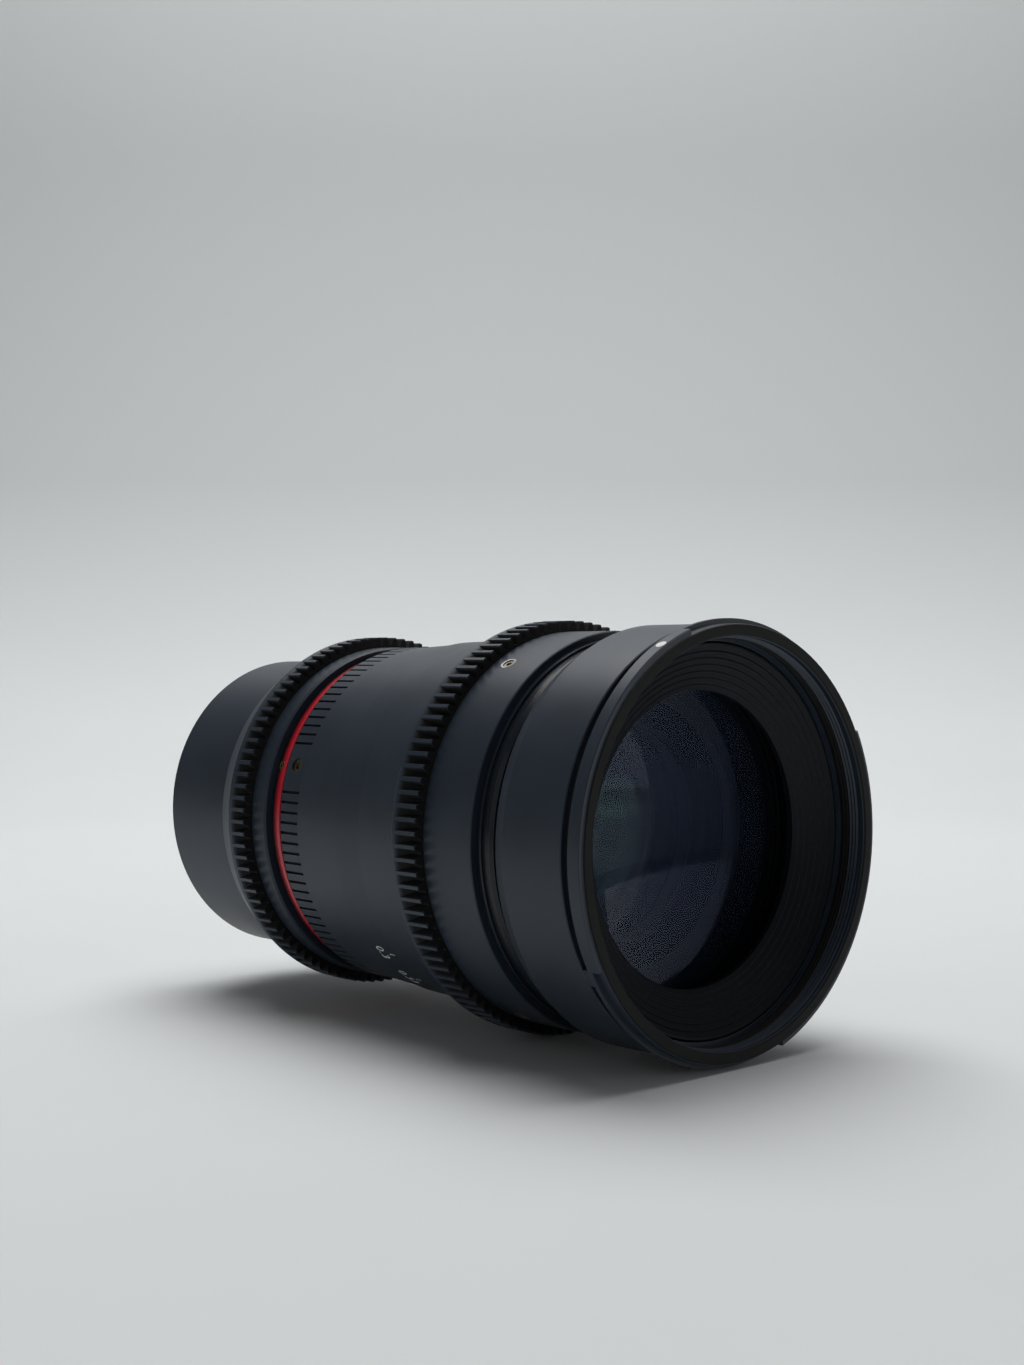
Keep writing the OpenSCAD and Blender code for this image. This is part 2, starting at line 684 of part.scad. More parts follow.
module front_barrel() color("dimgray") on_axis() difference() {
  seat_r = baffle_r + seat;
  shade_r = (seat_r + sleeve_r + seat) / 2;
  filter_t = lip_t - filter_len - edge;
  baffle_t = filter_t - baffle_seat_len;
  ridge_t = front_front_t + bayonet_len * 0.4;
  recess_t = front_front_t + bayonet_len * 0.62;
  lug_t = lip_t - edge;
  lugs = 2;
  lug_end = lug_start + lug_angle;
  stop_angle = 5;
  union() {
    turned([[sleeve_r + seat, neck_front_t], [front_r - front_bevel, neck_front_t],
            [front_r, neck_front_t + bevel_len], [front_r, front_front_t - edge / 2],
            [front_r - edge / 2, front_front_t], [core_r, front_front_t], [core_r, ridge_t],
            [lug_r - edge, ridge_t], [lug_r, ridge_t + edge], [lug_r, lug_t - edge / 2],
            [lug_r - edge / 2, lug_t], [front_r, lug_t], [front_r - edge / 2, lip_t],
            [filter_r + edge, lip_t], [filter_r, lip_t - edge],
            [filter_r, filter_t], [seat_r, filter_t], [seat_r, baffle_t], [shade_r, baffle_t],
            [shade_r, sleeve_front_t + seat], [sleeve_r + seat, sleeve_front_t + seat]]);
    around(lugs) sector(front_front_t - edge, ridge_t + edge / 2, front_r - seat, core_r - edge,
                        lug_end + 1, lug_end + 1 + stop_angle);
  }
  // Only a low ridge is left between the lugs
  around(lugs)
    sector(recess_t, lug_t + fine_edge, lug_r + 1, front_r + seat, lug_end, lug_start + 360 / lugs);
}

// Ridged cone that keeps stray light off the glass.
module front_baffle() color("black") on_axis() {
  outer = baffle_r - edge;
  top_t = lip_t - filter_len - edge;
  seat_t = top_t - baffle_seat_len;
  open_t = lip_t - baffle_depth;
  pitch = (outer - baffle_open_r) / ridges;
  drop = (top_t - open_t) / ridges;
  turned(concat(
    [[baffle_r, seat_t], [baffle_r, seat_t + baffle_seat_len / 2], [outer, top_t]],
    [for (i = [0:ridges - 1], k = [0, 1])
      k == 0 ? [outer - i * pitch - pitch * 0.3, top_t - i * drop]
             : [outer - (i + 1) * pitch, top_t - i * drop - drop * 1.3]],
    [[baffle_open_r, open_t - baffle_wall], [outer - 1, seat_t]]));
}

// Focus carriage: everything that slides when the focus ring turns

module focus_carriage() color("gray") on_axis() difference() {
  ledge_t = rear_face(0, rim_1) - seat;
  turned([[cover_r, carriage_t], [carriage_r, carriage_t], [carriage_r, flare_t], [flare_r, flare_t],
          [flare_r, carriage_front_t], [retainer_r + seat, carriage_front_t],
          [retainer_r + seat, retainer_t], [rim_1 + seat, retainer_t],
          [rim_1 + seat, ledge_t], [carriage_in, ledge_t],
          [carriage_in, cell_t], [iris_open_r, cell_t], [iris_open_r, chamber_front_t],
          [chamber_r, chamber_front_t], [chamber_r, chamber_t], [cover_r, chamber_t]]);
  around(tongues)
    radial_block(guide_t - focus_travel - run, guide_front_t + run, tongue_in - run, flare_r,
                 tongue_w + 2 * run);
  around(blades, blade_start) translate([0, pivot_ring, chamber_front_t - eps])
    cylinder(h = pivot_deep, r = pin_r + seat);
}

module front_retaining_ring() color("black") on_axis() difference() {
  tube(retainer_t, carriage_front_t - edge, retainer_r, glass_r);
  for (a = [0, 90]) rotate([0, 0, a])
    translate([0, 0, carriage_front_t]) cube([2 * retainer_r + 1, 1.2, 2], center = true);
}

// Tube that holds the second to fifth glass, loaded from the front.
module front_cell() color("gray") on_axis() {
  last = fronts - 1;
  clear = GLASS[last][5];
  r5 = GLASS[last][0] + seat;
  r3 = GLASS[2][0] + seat;
  r2 = GLASS[1][0] + seat;
  t5 = rear_face(last, clear) - seat;
  t3 = rear_face(2, r5) - seat;
  t2 = rear_face(1, r2) - seat;
  top_t = rear_face(0, rim_1) - seat;
  turned([[clear, cell_t], [cell_r, cell_t], [cell_r, top_t], [r2, top_t], [r2, t2], [r3, t2],
          [r3, t3], [r5, t3], [r5, t5], [clear, t5]]);
}

// Ring between the rear face of glass i and the front face of the next one.
module spacer(i, inner, outer) {
  turned([[inner, front_face(i + 1, inner) + seat], [outer, front_face(i + 1, inner) + seat],
          [outer, rear_face(i, outer) - seat], [inner, rear_face(i, outer) - seat]]);
}

module front_spacer() color("black") on_axis() spacer(0, GLASS[0][5] - 1.8, GLASS[1][0]);
module mid_spacer() color("black") on_axis() spacer(1, GLASS[2][5], GLASS[2][0]);

module thin_spacer(i) {
  inner = GLASS[i][0] - 1.7;
  turned([[inner, front_face(i + 1, inner) + seat], [GLASS[i][0], front_face(i + 1, inner) + seat],
          [GLASS[i][0], rear_face(i, inner) - seat], [inner, rear_face(i, inner) - seat]]);
}

module rear_spacer_1() color("black") on_axis() thin_spacer(fronts + 1);
module rear_spacer_2() color("black") on_axis() thin_spacer(fronts + 2);

// Tube that holds the glass behind the iris, loaded from the rear.
module rear_cell() color("gray") on_axis() {
  clear = GLASS[fronts][5];
  rims = [for (i = [fronts, fronts + 2, fronts + 3, fronts + 5]) GLASS[i][0] + seat];
  t6 = front_face(fronts, rims[0]) + seat;
  t8 = front_face(fronts + 2, rims[0]) + seat;
  t9 = front_face(fronts + 3, rims[1]) + seat;
  t11 = front_face(fronts + 5, rims[3]) + seat;
  turned([[clear, carriage_t], [rear_cell_r, carriage_t], [rear_cell_r, rear_end_t],
          [rear_thread_r + seat, rear_end_t], [rear_thread_r + seat, rear_lock_t], [rims[3], rear_lock_t],
          [rims[3], t11], [rims[2], t11], [rims[2], t9], [rims[1], t9], [rims[1], t8], [rims[0], t8],
          [rims[0], t6], [clear, t6]]);
}

module rear_retaining_ring() color("black") on_axis() difference() {
  tube(rear_end_t + edge, rear_lock_t - seat, rear_thread_r, rear_ring_in);
  for (a = [0, 90]) rotate([0, 0, a])
    translate([0, 0, rear_end_t]) cube([2 * rear_thread_r + 1, 1.2, 2], center = true);
}

// Iris

module iris_cover() color("gray") on_axis() difference() {
  tube(carriage_t, chamber_t, cover_r - seat, iris_open_r);
  half = asin((rod_r + run) / rod_ring);
  sector(carriage_t - 1, chamber_t + 1, rod_ring + rod_r + run, rod_ring - rod_r - run,
         lever_angle - half, lever_angle + ap_turn + half);
}

// Place of a blade's drive pin, seen from the drive ring, from open (0) to closed (1)
function pin_at(u) = let (a = pin_start + blade_turn * u,
                          x = -pin_arm * sin(a), y = pivot_ring + pin_arm * cos(a), b = ap_turn * u)
  [x * cos(b) + y * sin(b), y * cos(b) - x * sin(b)];

function side(u, off) = let (d = pin_at(u + 0.01) - pin_at(u - 0.01))
  pin_at(u) + off * [-d[1], d[0]] / norm(d);

// Slanted slot that carries a blade's drive pin.
module pin_slot() {
  polygon(concat([for (k = [0:slot_steps]) side(k / slot_steps, slot_half)],
                 [for (k = [slot_steps:-1:0]) side(k / slot_steps, -slot_half)]));
  for (u = [0, 1]) translate(pin_at(u)) circle(slot_half, $fn = 32);
}

module iris_drive_ring() color("goldenrod") on_axis() {
  translate([0, 0, iris_ring_t]) linear_extrude(iris_ring_w) difference() {
    circle(iris_ring_r);
    circle(iris_ring_in);
    around(blades, blade_start) pin_slot();
  }
  rotate([0, 0, lever_angle]) translate([0, rod_ring, rod_end_t])
    cylinder(h = iris_ring_t + iris_ring_w / 2 - rod_end_t, r = rod_r, $fn = 32);
}

// Plan of one blade with its pivot at the top, open, its tail turning left.
module blade_plan() {
  outer = iris_open_r + blade_w;
  far = 3 * outer;
  pin = pin_at(0);
  d = (pin - [0, pivot_ring]) / pin_arm;
  n = [-d[1], d[0]] * ear_r * 0.8;
  intersection() {
    difference() {
      circle(outer);
      circle(iris_open_r);
    }
    polygon([[0, 0], at(far, -5), at(far, blade_arc / 2), at(far, blade_arc)]);
  }
  translate(at(iris_open_r + blade_w / 2, blade_arc)) circle(blade_w / 2, $fn = 32);
  translate([0, pivot_ring]) circle(ear_r, $fn = 32);
  translate(pin) circle(ear_r * 0.8, $fn = 32);
  polygon([[0, pivot_ring] + n, pin + n, pin - n, [0, pivot_ring] - n]);
}

module iris_blade(i) color("darkslategray") on_axis() rotate([0, 0, blade_start + (i - 1) * 360 / blades]) {
  plate_t = blade_base_t + (i - 1) * blade_step;
  translate([0, 0, plate_t]) linear_extrude(blade_t) blade_plan();
  translate([0, pivot_ring, plate_t])
    cylinder(h = chamber_front_t + pivot_deep - run - plate_t, r = pin_r, $fn = 32);
  translate([pin_at(0)[0], pin_at(0)[1], iris_ring_t])
    cylinder(h = plate_t + blade_t - iris_ring_t, r = pin_r, $fn = 32);
}

// Glass: a disc cut by a ball at each face.
module glass(i) color("lightsteelblue") on_axis() {
  e = GLASS[i];
  top = max(vertex(i), front_face(i, e[0]));
  low = min(back(i), rear_face(i, e[0]));
  difference() {
    intersection() {
      translate([0, 0, low]) cylinder(h = top - low, r = e[0]);
      if (e[2] > 0) translate([0, 0, vertex(i) - e[2]]) sphere(e[2]);
      if (e[3] < 0) translate([0, 0, back(i) - e[3]]) sphere(-e[3]);
    }
    if (e[2] < 0) translate([0, 0, vertex(i) - e[2]]) sphere(-e[2]);
    if (e[3] > 0) translate([0, 0, back(i) - e[3]]) sphere(e[3]);
  }
}

mount_flange();
mount_screws();
rear_light_baffle();
rear_barrel();
aperture_ring();
iris_lever();
red_ring();
red_ring_screws();
fixed_barrel();
barrel_set_screws();
focus_ring();
focus_ring_screws();
focus_drive_keys();
helicoid_ring();
guide_ring();
neck_ring_rear();
neck_ring_front();
front_barrel();
front_baffle();
focus_carriage();
front_retaining_ring();
front_cell();
rear_cell();
rear_retaining_ring();
front_spacer();
mid_spacer();
rear_spacer_1();
rear_spacer_2();
iris_cover();
iris_drive_ring();
for (i = [1:blades]) iris_blade(i);
for (i = [1:len(GLASS)]) glass(i - 1);
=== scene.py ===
"""Looks of a cinema prime lens: finishes, front glass, painted scales and a pale studio stage.

Distances are in metres. A place on the lens is given by t, its distance in front of the
mount flange, by its radius, and by an angle counted from the top towards -X.
"""
import json
import math

import bmesh
import bpy
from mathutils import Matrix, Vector


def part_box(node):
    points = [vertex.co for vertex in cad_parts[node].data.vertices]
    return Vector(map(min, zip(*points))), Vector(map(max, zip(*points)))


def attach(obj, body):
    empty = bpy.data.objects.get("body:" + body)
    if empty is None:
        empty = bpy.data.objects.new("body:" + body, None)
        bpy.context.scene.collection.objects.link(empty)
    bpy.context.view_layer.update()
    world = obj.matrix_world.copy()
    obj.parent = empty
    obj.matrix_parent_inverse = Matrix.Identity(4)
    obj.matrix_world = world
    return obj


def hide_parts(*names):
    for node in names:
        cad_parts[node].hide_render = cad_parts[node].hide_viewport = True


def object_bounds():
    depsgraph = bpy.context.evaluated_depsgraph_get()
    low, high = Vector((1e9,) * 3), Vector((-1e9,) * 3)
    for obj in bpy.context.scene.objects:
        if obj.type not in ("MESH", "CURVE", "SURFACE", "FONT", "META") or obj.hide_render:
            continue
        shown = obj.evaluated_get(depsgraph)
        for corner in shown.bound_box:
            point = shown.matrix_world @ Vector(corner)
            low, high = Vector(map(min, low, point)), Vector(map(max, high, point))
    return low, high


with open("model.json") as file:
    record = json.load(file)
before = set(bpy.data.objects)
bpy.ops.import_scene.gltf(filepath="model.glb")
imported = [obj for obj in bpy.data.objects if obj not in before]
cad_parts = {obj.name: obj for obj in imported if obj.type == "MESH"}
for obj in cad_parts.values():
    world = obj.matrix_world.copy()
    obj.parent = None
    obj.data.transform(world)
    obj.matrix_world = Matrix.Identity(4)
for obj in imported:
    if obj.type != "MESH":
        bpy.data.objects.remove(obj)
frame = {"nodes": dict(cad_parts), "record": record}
CAD_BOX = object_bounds()

bl_info = {
    "name": "Cinema prime lens looks",
    "version": (1, 0, 0),
    "blender": (4, 5, 0),
    "location": "View3D > Sidebar > Lens",
    "description": "Finishes, painted scales and a studio stage for a cinema prime lens",
    "category": "Object",
}

MM = 0.001
INK_PROUD = 0.04 * MM
INK_SUNK = 0.05 * MM
OUTSIDE = 60 * MM
SENSOR_SIDE = 36
NEAR_CLIP = 0.01
DIGIT_SIZE = 1.38
MERGE = 0.001 * MM
THREAD_STEPS = 96
THREAD_RUN_OUT = 12
THREAD_FLANK = 0.42
SOCKET_SHARE = 0.5
SCREW_TURNS = (0, 120, 240)
DISTANCES = ("0.3", "0.33", "0.4", "0.5", "0.7", "1", "2", "5")
STOPS = ("1.5", "2", "2.8", "4", "5.6", "8", "11", "16", "22")


# Places on the lens

def reach(node):
    """Rear and front station of a CAD node, and its outer radius."""
    low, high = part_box(node)
    return -high.y, -low.y, high.z


def on_lens(t, radius, angle):
    """Point at station t, at that radius, at an angle in degrees from the top."""
    a = math.radians(angle)
    return Vector((-radius * math.sin(a), -t, radius * math.cos(a)))


def wall_of(node):
    """Function that gives the outer radius of a CAD node at a station and an angle."""
    solid = frame["nodes"][node]

    def radius(t, angle):
        hit, place, _, _ = solid.ray_cast(on_lens(t, OUTSIDE, angle), on_lens(0, -1, angle))
        if not hit:
            raise RuntimeError(f"no wall of {node} at station {t / MM:.2f} mm, angle {angle:.1f}")
        return math.hypot(place.x, place.z)

    return radius


# Sizes and colours

def length(name, description, value):
    """A distance that a user would change, written in millimetres."""
    return bpy.props.FloatProperty(
        name=name, description=description, default=value * MM, unit="LENGTH", precision=5)


def degrees(name, description, value):
    """An angle in degrees."""
    return bpy.props.FloatProperty(name=name, description=description + ", in degrees", default=value)


def power(name, description, value):
    """A lamp's power in watts."""
    return bpy.props.FloatProperty(name=name, description=description, default=value, unit="POWER")


def point(name, description, value):
    """A place or a shift in metres."""
    return bpy.props.FloatVectorProperty(
        name=name, description=description, default=value, subtype="XYZ", unit="LENGTH")


def colour(name, description, value):
    """A linear colour."""
    return bpy.props.FloatVectorProperty(
        name=name, description=description, default=value, subtype="COLOR", size=3, min=0, max=1)


class LensSizes(bpy.types.PropertyGroup):
    """Sizes of the pieces that the looks add to the solids."""

    glass_clear: length("Clear glass", "Radius of the front glass inside its retaining ring", 31.4)
    glass_edge_back: length("Glass edge back", "Glass edge's distance behind its retaining ring", 0.05)
    glass_hollow: length("Glass hollow", "Radius of the curve of the hollow front face", 85)
    glass_back: length("Glass back", "Radius of the curve of the front glass's back face", 600)
    glass_seat: length("Glass seat", "Inner radius of the flat rim behind the front glass", 27)
    glass_blacked: length("Blacked rim", "Radius outside which the front glass is painted black", 31.3)
    stop_radius: length("Front stop", "Radius of the opening behind the front glass", 21.5)
    stop_lean: length("Stop lean", "How far the stop's inner edge stands off its glass", 1.7)
    # The gaps between the teeth, the notches, the hood groove and the lip's edge, sized below, get painted
    # shade near black.
    focus_teeth: length("Focus teeth", "Length of the focus ring's teeth", 6.1)
    focus_teeth_back: length("Focus teeth back", "Teeth's distance behind the focus ring's front", 13.2)
    stop_teeth: length("Stop teeth", "Length of the aperture ring's teeth", 4.6)
    stop_teeth_back: length("Stop teeth back", "Teeth's distance behind the aperture ring's front", 4.5)
    notch_from: length("Notch start", "Start of the grip notches in front of the red ring", 0.3)
    notch_to: length("Notch end", "End of the grip notches in front of the red ring", 6.5)
    notch_wall: length("Notch wall", "Radius of the wall that the notches are cut in", 36.42)
    hood_groove_from: length("Hood groove start", "Hood groove's start behind the lip", 5.8)
    hood_groove_to: length("Hood groove end", "Hood groove's end behind the lip", 3.45)
    hood_groove_depth: length("Hood groove depth", "Depth under the lugs at which the groove is black", 1.3)
    lip_edge: length("Lip edge", "Width of the dull edge of the front lip", 0.3)
    thread_in: length("Thread in", "Distance of the filter thread's mouth behind the lip", 0.4)
    thread_pitch: length("Thread pitch", "Pitch of the filter thread", 0.75)
    thread_height: length("Thread height", "Height of the filter thread's ridge", 0.28)
    thread_root: length("Thread root", "Depth of the ridge's foot in the bore's wall", 0.05)
    screw_rim: length("Screw rim", "Width of the bare rim round a sunk screw", 0.45)
    screw_rim_gap: length("Screw rim gap", "Gap between a screw's hole and its rim", 0.05)
    screw_sunk: length("Screw sunk", "Depth of a screw's face under the wall", 0.2)
    screw_gap: length("Screw gap", "Gap between a screw's face and its hole", 0.02)
    screw_first: degrees("First focus screw", "Angle of the focus ring's first screw from the top", 33)
    red_screw_first: degrees("First red ring screw", "Angle of the red ring's first screw", 71)
    digit_height: length("Digit height", "Height of the painted numbers", 2.4)
    stop_digit_height: length("Stop digit height", "Height of the numbers of the aperture ring", 2.2)
    digit_in: length("Digit place", "Middle of the distance numbers, from the ring's rear", 3.2)
    stop_digit_in: length("Stop digit place", "Middle of the stop numbers, from the ring's rear", 3.0)
    tick_from: length("Tick start", "Start of the distance ticks, from the ring's rear", 5.6)
    tick_to: length("Tick end", "End of the distance ticks, from the ring's rear", 7.2)
    index_from: length("Index start", "Start of an index line behind its ring", 4.5)
    focus_index_to: length("Focus index end", "End of the focus index line behind its ring", 0.8)
    stop_index_to: length("Stop index end", "End of the aperture index line behind its ring", 1.0)
    line_width: length("Line width", "Width of a painted index line", 0.35)
    tick_width: length("Tick width", "Width of a painted distance tick", 0.245)
    focus_turn: degrees("Focus turn", "Turn of the focus ring from far to near", 150)
    aperture_turn: degrees("Aperture turn", "Turn of the aperture ring from open to closed", 65)
    focus_index: degrees("Focus index", "Angle of the focus index line from the top", 282.5)
    aperture_index: degrees("Aperture index", "Angle of the aperture index line from the top", 270)
    hood_dot_angle: degrees("Hood dot angle", "Angle of the white hood dot from the top", 28.3)
    hood_dot_back: length("Hood dot back", "Hood dot's distance behind the lip", 1.6)
    hood_dot_radius: length("Hood dot radius", "Radius of the white hood dot", 1.0)
    mount_dot_radius: length("Mount dot radius", "Radius of the mount's index dot", 1.3)


class LensColours(bpy.types.PropertyGroup):
    """Colours of the finishes."""

    satin_black: colour("Satin black", "Anodised barrel and rings", (0.020, 0.030, 0.045))
    gloss_black: colour("Gloss black", "Polished trim rings", (0.008, 0.011, 0.016))
    matte_black: colour("Matte black", "Light baffles and retaining rings", (0.0055, 0.0078, 0.0110))
    dark_alloy: colour("Dark alloy", "Inner tubes and cells", (0.004, 0.0045, 0.0055))
    red: colour("Red", "Red anodised ring", (0.56, 0.006, 0.022))
    chrome: colour("Chrome", "Mount flange", (0.62, 0.62, 0.62))
    steel: colour("Steel", "Flange screws and keys", (0.42, 0.42, 0.43))
    brass: colour("Brass", "Helicoid, lever and iris ring", (0.55, 0.39, 0.16))
    dull_brass: colour("Dull brass", "Set screws", (0.24, 0.195, 0.13))
    bare_rim: colour("Bare rim", "Cut rims round the screws", (0.30, 0.31, 0.32))
    blade: colour("Blade", "Blackened iris blades", (0.035, 0.035, 0.038))
    ink: colour("Ink", "White painted numbers and marks", (0.80, 0.80, 0.78))
    paper: colour("Paper", "Floor and backdrop", (0.70, 0.72, 0.725))


class StageSizes(bpy.types.PropertyGroup):
    """Camera, backdrop and lamps."""

    camera_place: point("Camera place", "Where the camera stands", (-0.25447, -0.35507, 0.03348))
    camera_target: point("Camera target", "Point that the camera looks at", (0.0, -0.0792, 0.0290))
    camera_lens: bpy.props.FloatProperty(
        name="Camera lens", description="Focal length in millimetres on a 36 mm side", default=47.47)
    floor_ahead: length("Floor ahead", "Floor from the lens to the backdrop's curve", 420)
    floor_behind: length("Floor behind", "Floor from the lens towards the camera and past it", 900)
    sweep_radius: length("Sweep radius", "Radius of the backdrop's curve", 420)
    wall_height: length("Wall height", "Height of the backdrop", 1500)
    stage_width: length("Stage width", "Width of the floor and the backdrop", 3600)
    lamp_place: point("Lamp place", "Overhead lamp, from the middle of the lens", (0.20, 0.22, 1.0))
    lamp_size: length("Lamp size", "Side of the overhead lamp and of the fill lamp", 950)
    lamp_power: power("Lamp power", "Power of the overhead lamp", 12.3)
    fill_place: point("Fill place", "Fill lamp, from the middle of the lens", (-1.3, -0.1, 0.5))
    fill_power: power("Fill power", "Power of the weak fill lamp at the left", 0.7)
    front_place: point("Front place", "Front lamp, from the middle of the lens", (1.32, -1.73, 0.325))
    front_width: length("Front width", "Width of the front lamp", 1700)
    front_height: length("Front height", "Height of the front lamp", 600)
    front_power: power("Front power", "Power of the wide weak lamp before the glass", 4.8)
    world_level: bpy.props.FloatProperty(
        name="World level", description="Brightness of the room round the stage", default=0.10)


# Shader maths

class Value:
    """A shader socket that takes part in Python expressions."""

    def __init__(self, finish, socket):
        self.finish = finish
        self.socket = socket

    def __add__(self, other):
        return self.finish.maths("ADD", self, other)

    def __radd__(self, other):
        return self.finish.maths("ADD", other, self)

    def __sub__(self, other):
        return self.finish.maths("SUBTRACT", self, other)

    def __rsub__(self, other):
        return self.finish.maths("SUBTRACT", other, self)

    def __mul__(self, other):
        return self.finish.maths("MULTIPLY", self, other)

    def __rmul__(self, other):
        return self.finish.maths("MULTIPLY", other, self)

    def __truediv__(self, other):
        return self.finish.maths("DIVIDE", self, other)


class Finish:
    """One procedural material, built up node by node."""

    made = {}

    def __init__(self, name):
        self.material = bpy.data.materials.new(name)
        self.material.use_nodes = True
        self.tree = self.material.node_tree
        self.tree.nodes.clear()
        Finish.made[name] = self.material

    def node(self, kind, settings=None, sockets=None, output=0):
        """Adds a node: its settings and ramp stops first, then its sockets' values or links."""
        made = self.tree.nodes.new(kind)
        made.location = (220 * (len(self.tree.nodes) % 8), -260 * (len(self.tree.nodes) // 8))
        for name, value in (settings or {}).items():
            if name == "stops":
                self.set_stops(made.color_ramp.elements, value)
            else:
                setattr(made, name, value)
        for name, value in (sockets or {}).items():
            if isinstance(value, Value):
                self.tree.links.new(value.socket, made.inputs[name])
            else:
                made.inputs[name].default_value = value
        return Value(self, made.outputs[output]) if made.outputs else None

    @staticmethod
    def set_stops(elements, stops):
        """Gives a colour ramp its stops, as pairs of a place and a grey level."""
        while len(elements) < len(stops):
            elements.new(0.5)
        for element, (place, level) in zip(elements, stops):
            element.position = place
            element.color = (level, level, level, 1)

    def maths(self, operation, first, second=0.0):
        return self.node("ShaderNodeMath", {"operation": operation}, {0: first, 1: second})

    def ramp(self, value, stops):
        return self.node("ShaderNodeValToRGB", {"stops": stops}, {"Fac": value})

    def mix(self, factor, first, second):
        """Mixes two colours, given as triples or links."""
        pair = [c if isinstance(c, Value) else (*c, 1) for c in (first, second)]
        return self.node("ShaderNodeMix", {"data_type": "RGBA"},
                         {"Factor": factor, 6: pair[0], 7: pair[1]}, output=2)

    def place(self):
        """Object coordinates, which are metres in the lens's own frame."""
        return self.node("ShaderNodeTexCoord", output=3)

    def axial(self):
        """Coordinate along the optical axis."""
        return self.node("ShaderNodeSeparateXYZ", None, {0: self.place()}, output=1)

    def radial(self):
        """Distance from the optical axis."""
        flat = self.node("ShaderNodeVectorMath", {"operation": "MULTIPLY"}, {0: self.place(), 1: (1, 0, 1)})
        return self.node("ShaderNodeVectorMath", {"operation": "LENGTH"}, {0: flat}, output=1)

    def noise(self, scale, detail=2.0):
        """Noise in space, with that many features to a metre."""
        return self.node("ShaderNodeTexNoise", None,
                         {"Vector": self.place(), "Scale": scale, "Detail": detail})

    def lines(self, along, scale, detail=3.0):
        """Noise that changes only along one coordinate, as a lathe tool leaves it."""
        return self.node("ShaderNodeTexNoise", {"noise_dimensions": "1D"},
                         {"W": along, "Scale": scale, "Detail": detail})

    def groove(self, start, end, radius):
        """Mask of what lies between two stations and more than a trace deeper than a radius."""
        t = self.axial() * -1.0
        inside = self.maths("GREATER_THAN", t, start) * self.maths("LESS_THAN", t, end)
        return inside * self.ramp((radius - self.radial()) / MM, [(0.05, 0), (0.5, 1)])

    def edges(self, width):
        """Mask of the corners, where the finishes paint a highlight."""
        rounded = self.node("ShaderNodeBevel", {"samples": 6}, {"Radius": width})
        flat = self.node("ShaderNodeNewGeometry", output=1)
        facing = self.node("ShaderNodeVectorMath", {"operation": "DOT_PRODUCT"},
                           {0: rounded, 1: flat}, output=1)
        return self.ramp(1 - facing, [(0.005, 0), (0.12, 1)])

    def bump(self, height, depth, strength=1.0):
        return self.node("ShaderNodeBump", None,
                         {"Strength": strength, "Distance": depth, "Height": height})

    def surface(self, base, roughness, normal=None, haze=None, **constants):
        """Principled surface under an optional haze of (share, colour).

        Names of constant sockets have _ for spaces.
        """
        sockets = {"Base Color": base if isinstance(base, Value) else (*base, 1), "Roughness": roughness}
        if normal is not None:
            sockets["Normal"] = normal
        for name, value in constants.items():
            sockets[name.replace("_", " ")] = value
        shader = self.node("ShaderNodeBsdfPrincipled", None, sockets)
        if haze is not None:
            share, shade = haze
            film = self.node("ShaderNodeBsdfDiffuse", None, {"Color": (*shade, 1)})
            shader = self.node("ShaderNodeMixShader", None, {0: share, 1: shader, 2: film})
        self.node("ShaderNodeOutputMaterial", None, {"Surface": shader})
        return self.material


# Finishes

# Painted shade for the floors of grooves and notches and for the lip's edge.
GROOVE_SHADE = (0.0015, 0.0018, 0.0025)
GROOVE_DULLING = 0.35
# Painted highlight on the red ring's corners.
HIGHLIGHT_RED = (0.75, 0.18, 0.20)
# Height over which the wall's painted shade is spread.
WALL_SHADE_SPAN = 0.5


def lighter(shade, factor):
    return tuple(min(1.0, c * factor) for c in shade)


def anodised(name, shade, gloss, highlight_share, shaded_grooves=()):
    """Anodised alloy: blasted grain, faint turning lines, and a painted highlight on its corners.

    The shaded bands are (start, end, radius): what lies deeper than the radius there is left
    dull, with painted shade that makes it near black.
    """
    f = Finish(name)
    cloud = f.noise(70, 4.0)
    grain = f.noise(5200, 2.0)
    turning = f.lines(f.axial(), 2300)
    edge = f.edges(0.22 * MM)
    patchy = f.mix(f.ramp(cloud, [(0.35, 0), (0.7, 1)]), lighter(shade, 0.88), lighter(shade, 1.14))
    # Painted highlight: the corners are mixed towards a paler shade.
    base = f.mix(edge * highlight_share, patchy, lighter(shade, 3.5))
    rough = gloss + (cloud - 0.5) * 0.10 + (turning - 0.5) * 0.08
    for start, end, radius in shaded_grooves:
        mask = f.groove(start, end, radius)
        # Painted shade: what lies deep in the band is mixed to near black.
        base = f.mix(mask, base, GROOVE_SHADE)
        rough = rough + mask * GROOVE_DULLING
    normal = f.bump(grain * 0.7 + turning * 0.5, 0.012 * MM, 0.35)
    return f.surface(base, rough, normal, Specular_IOR_Level=0.39)


def red_anodised(shade, start, end):
    """Red anodised alloy with painted shade that darkens it towards the seam behind it, and a painted
    highlight on its corners.
    """
    f = Finish("red_anodised")
    cloud = f.noise(70, 4.0)
    turning = f.lines(f.axial(), 2300)
    edge = f.edges(0.22 * MM)
    along = (f.axial() + start) / (start - end)
    # Painted highlight: the corners are mixed towards a pale pink.
    bright = f.mix(edge * 0.7, shade, HIGHLIGHT_RED)
    # Painted shade: near black at the rear of the ring, red towards its front.
    base = f.mix(f.ramp(along, [(0.08, 0), (0.62, 1)]), lighter(shade, 0.015), bright)
    rough = 0.28 + (cloud - 0.5) * 0.10 + (turning - 0.5) * 0.08
    return f.surface(base, rough, f.bump(turning, 0.010 * MM, 0.3))


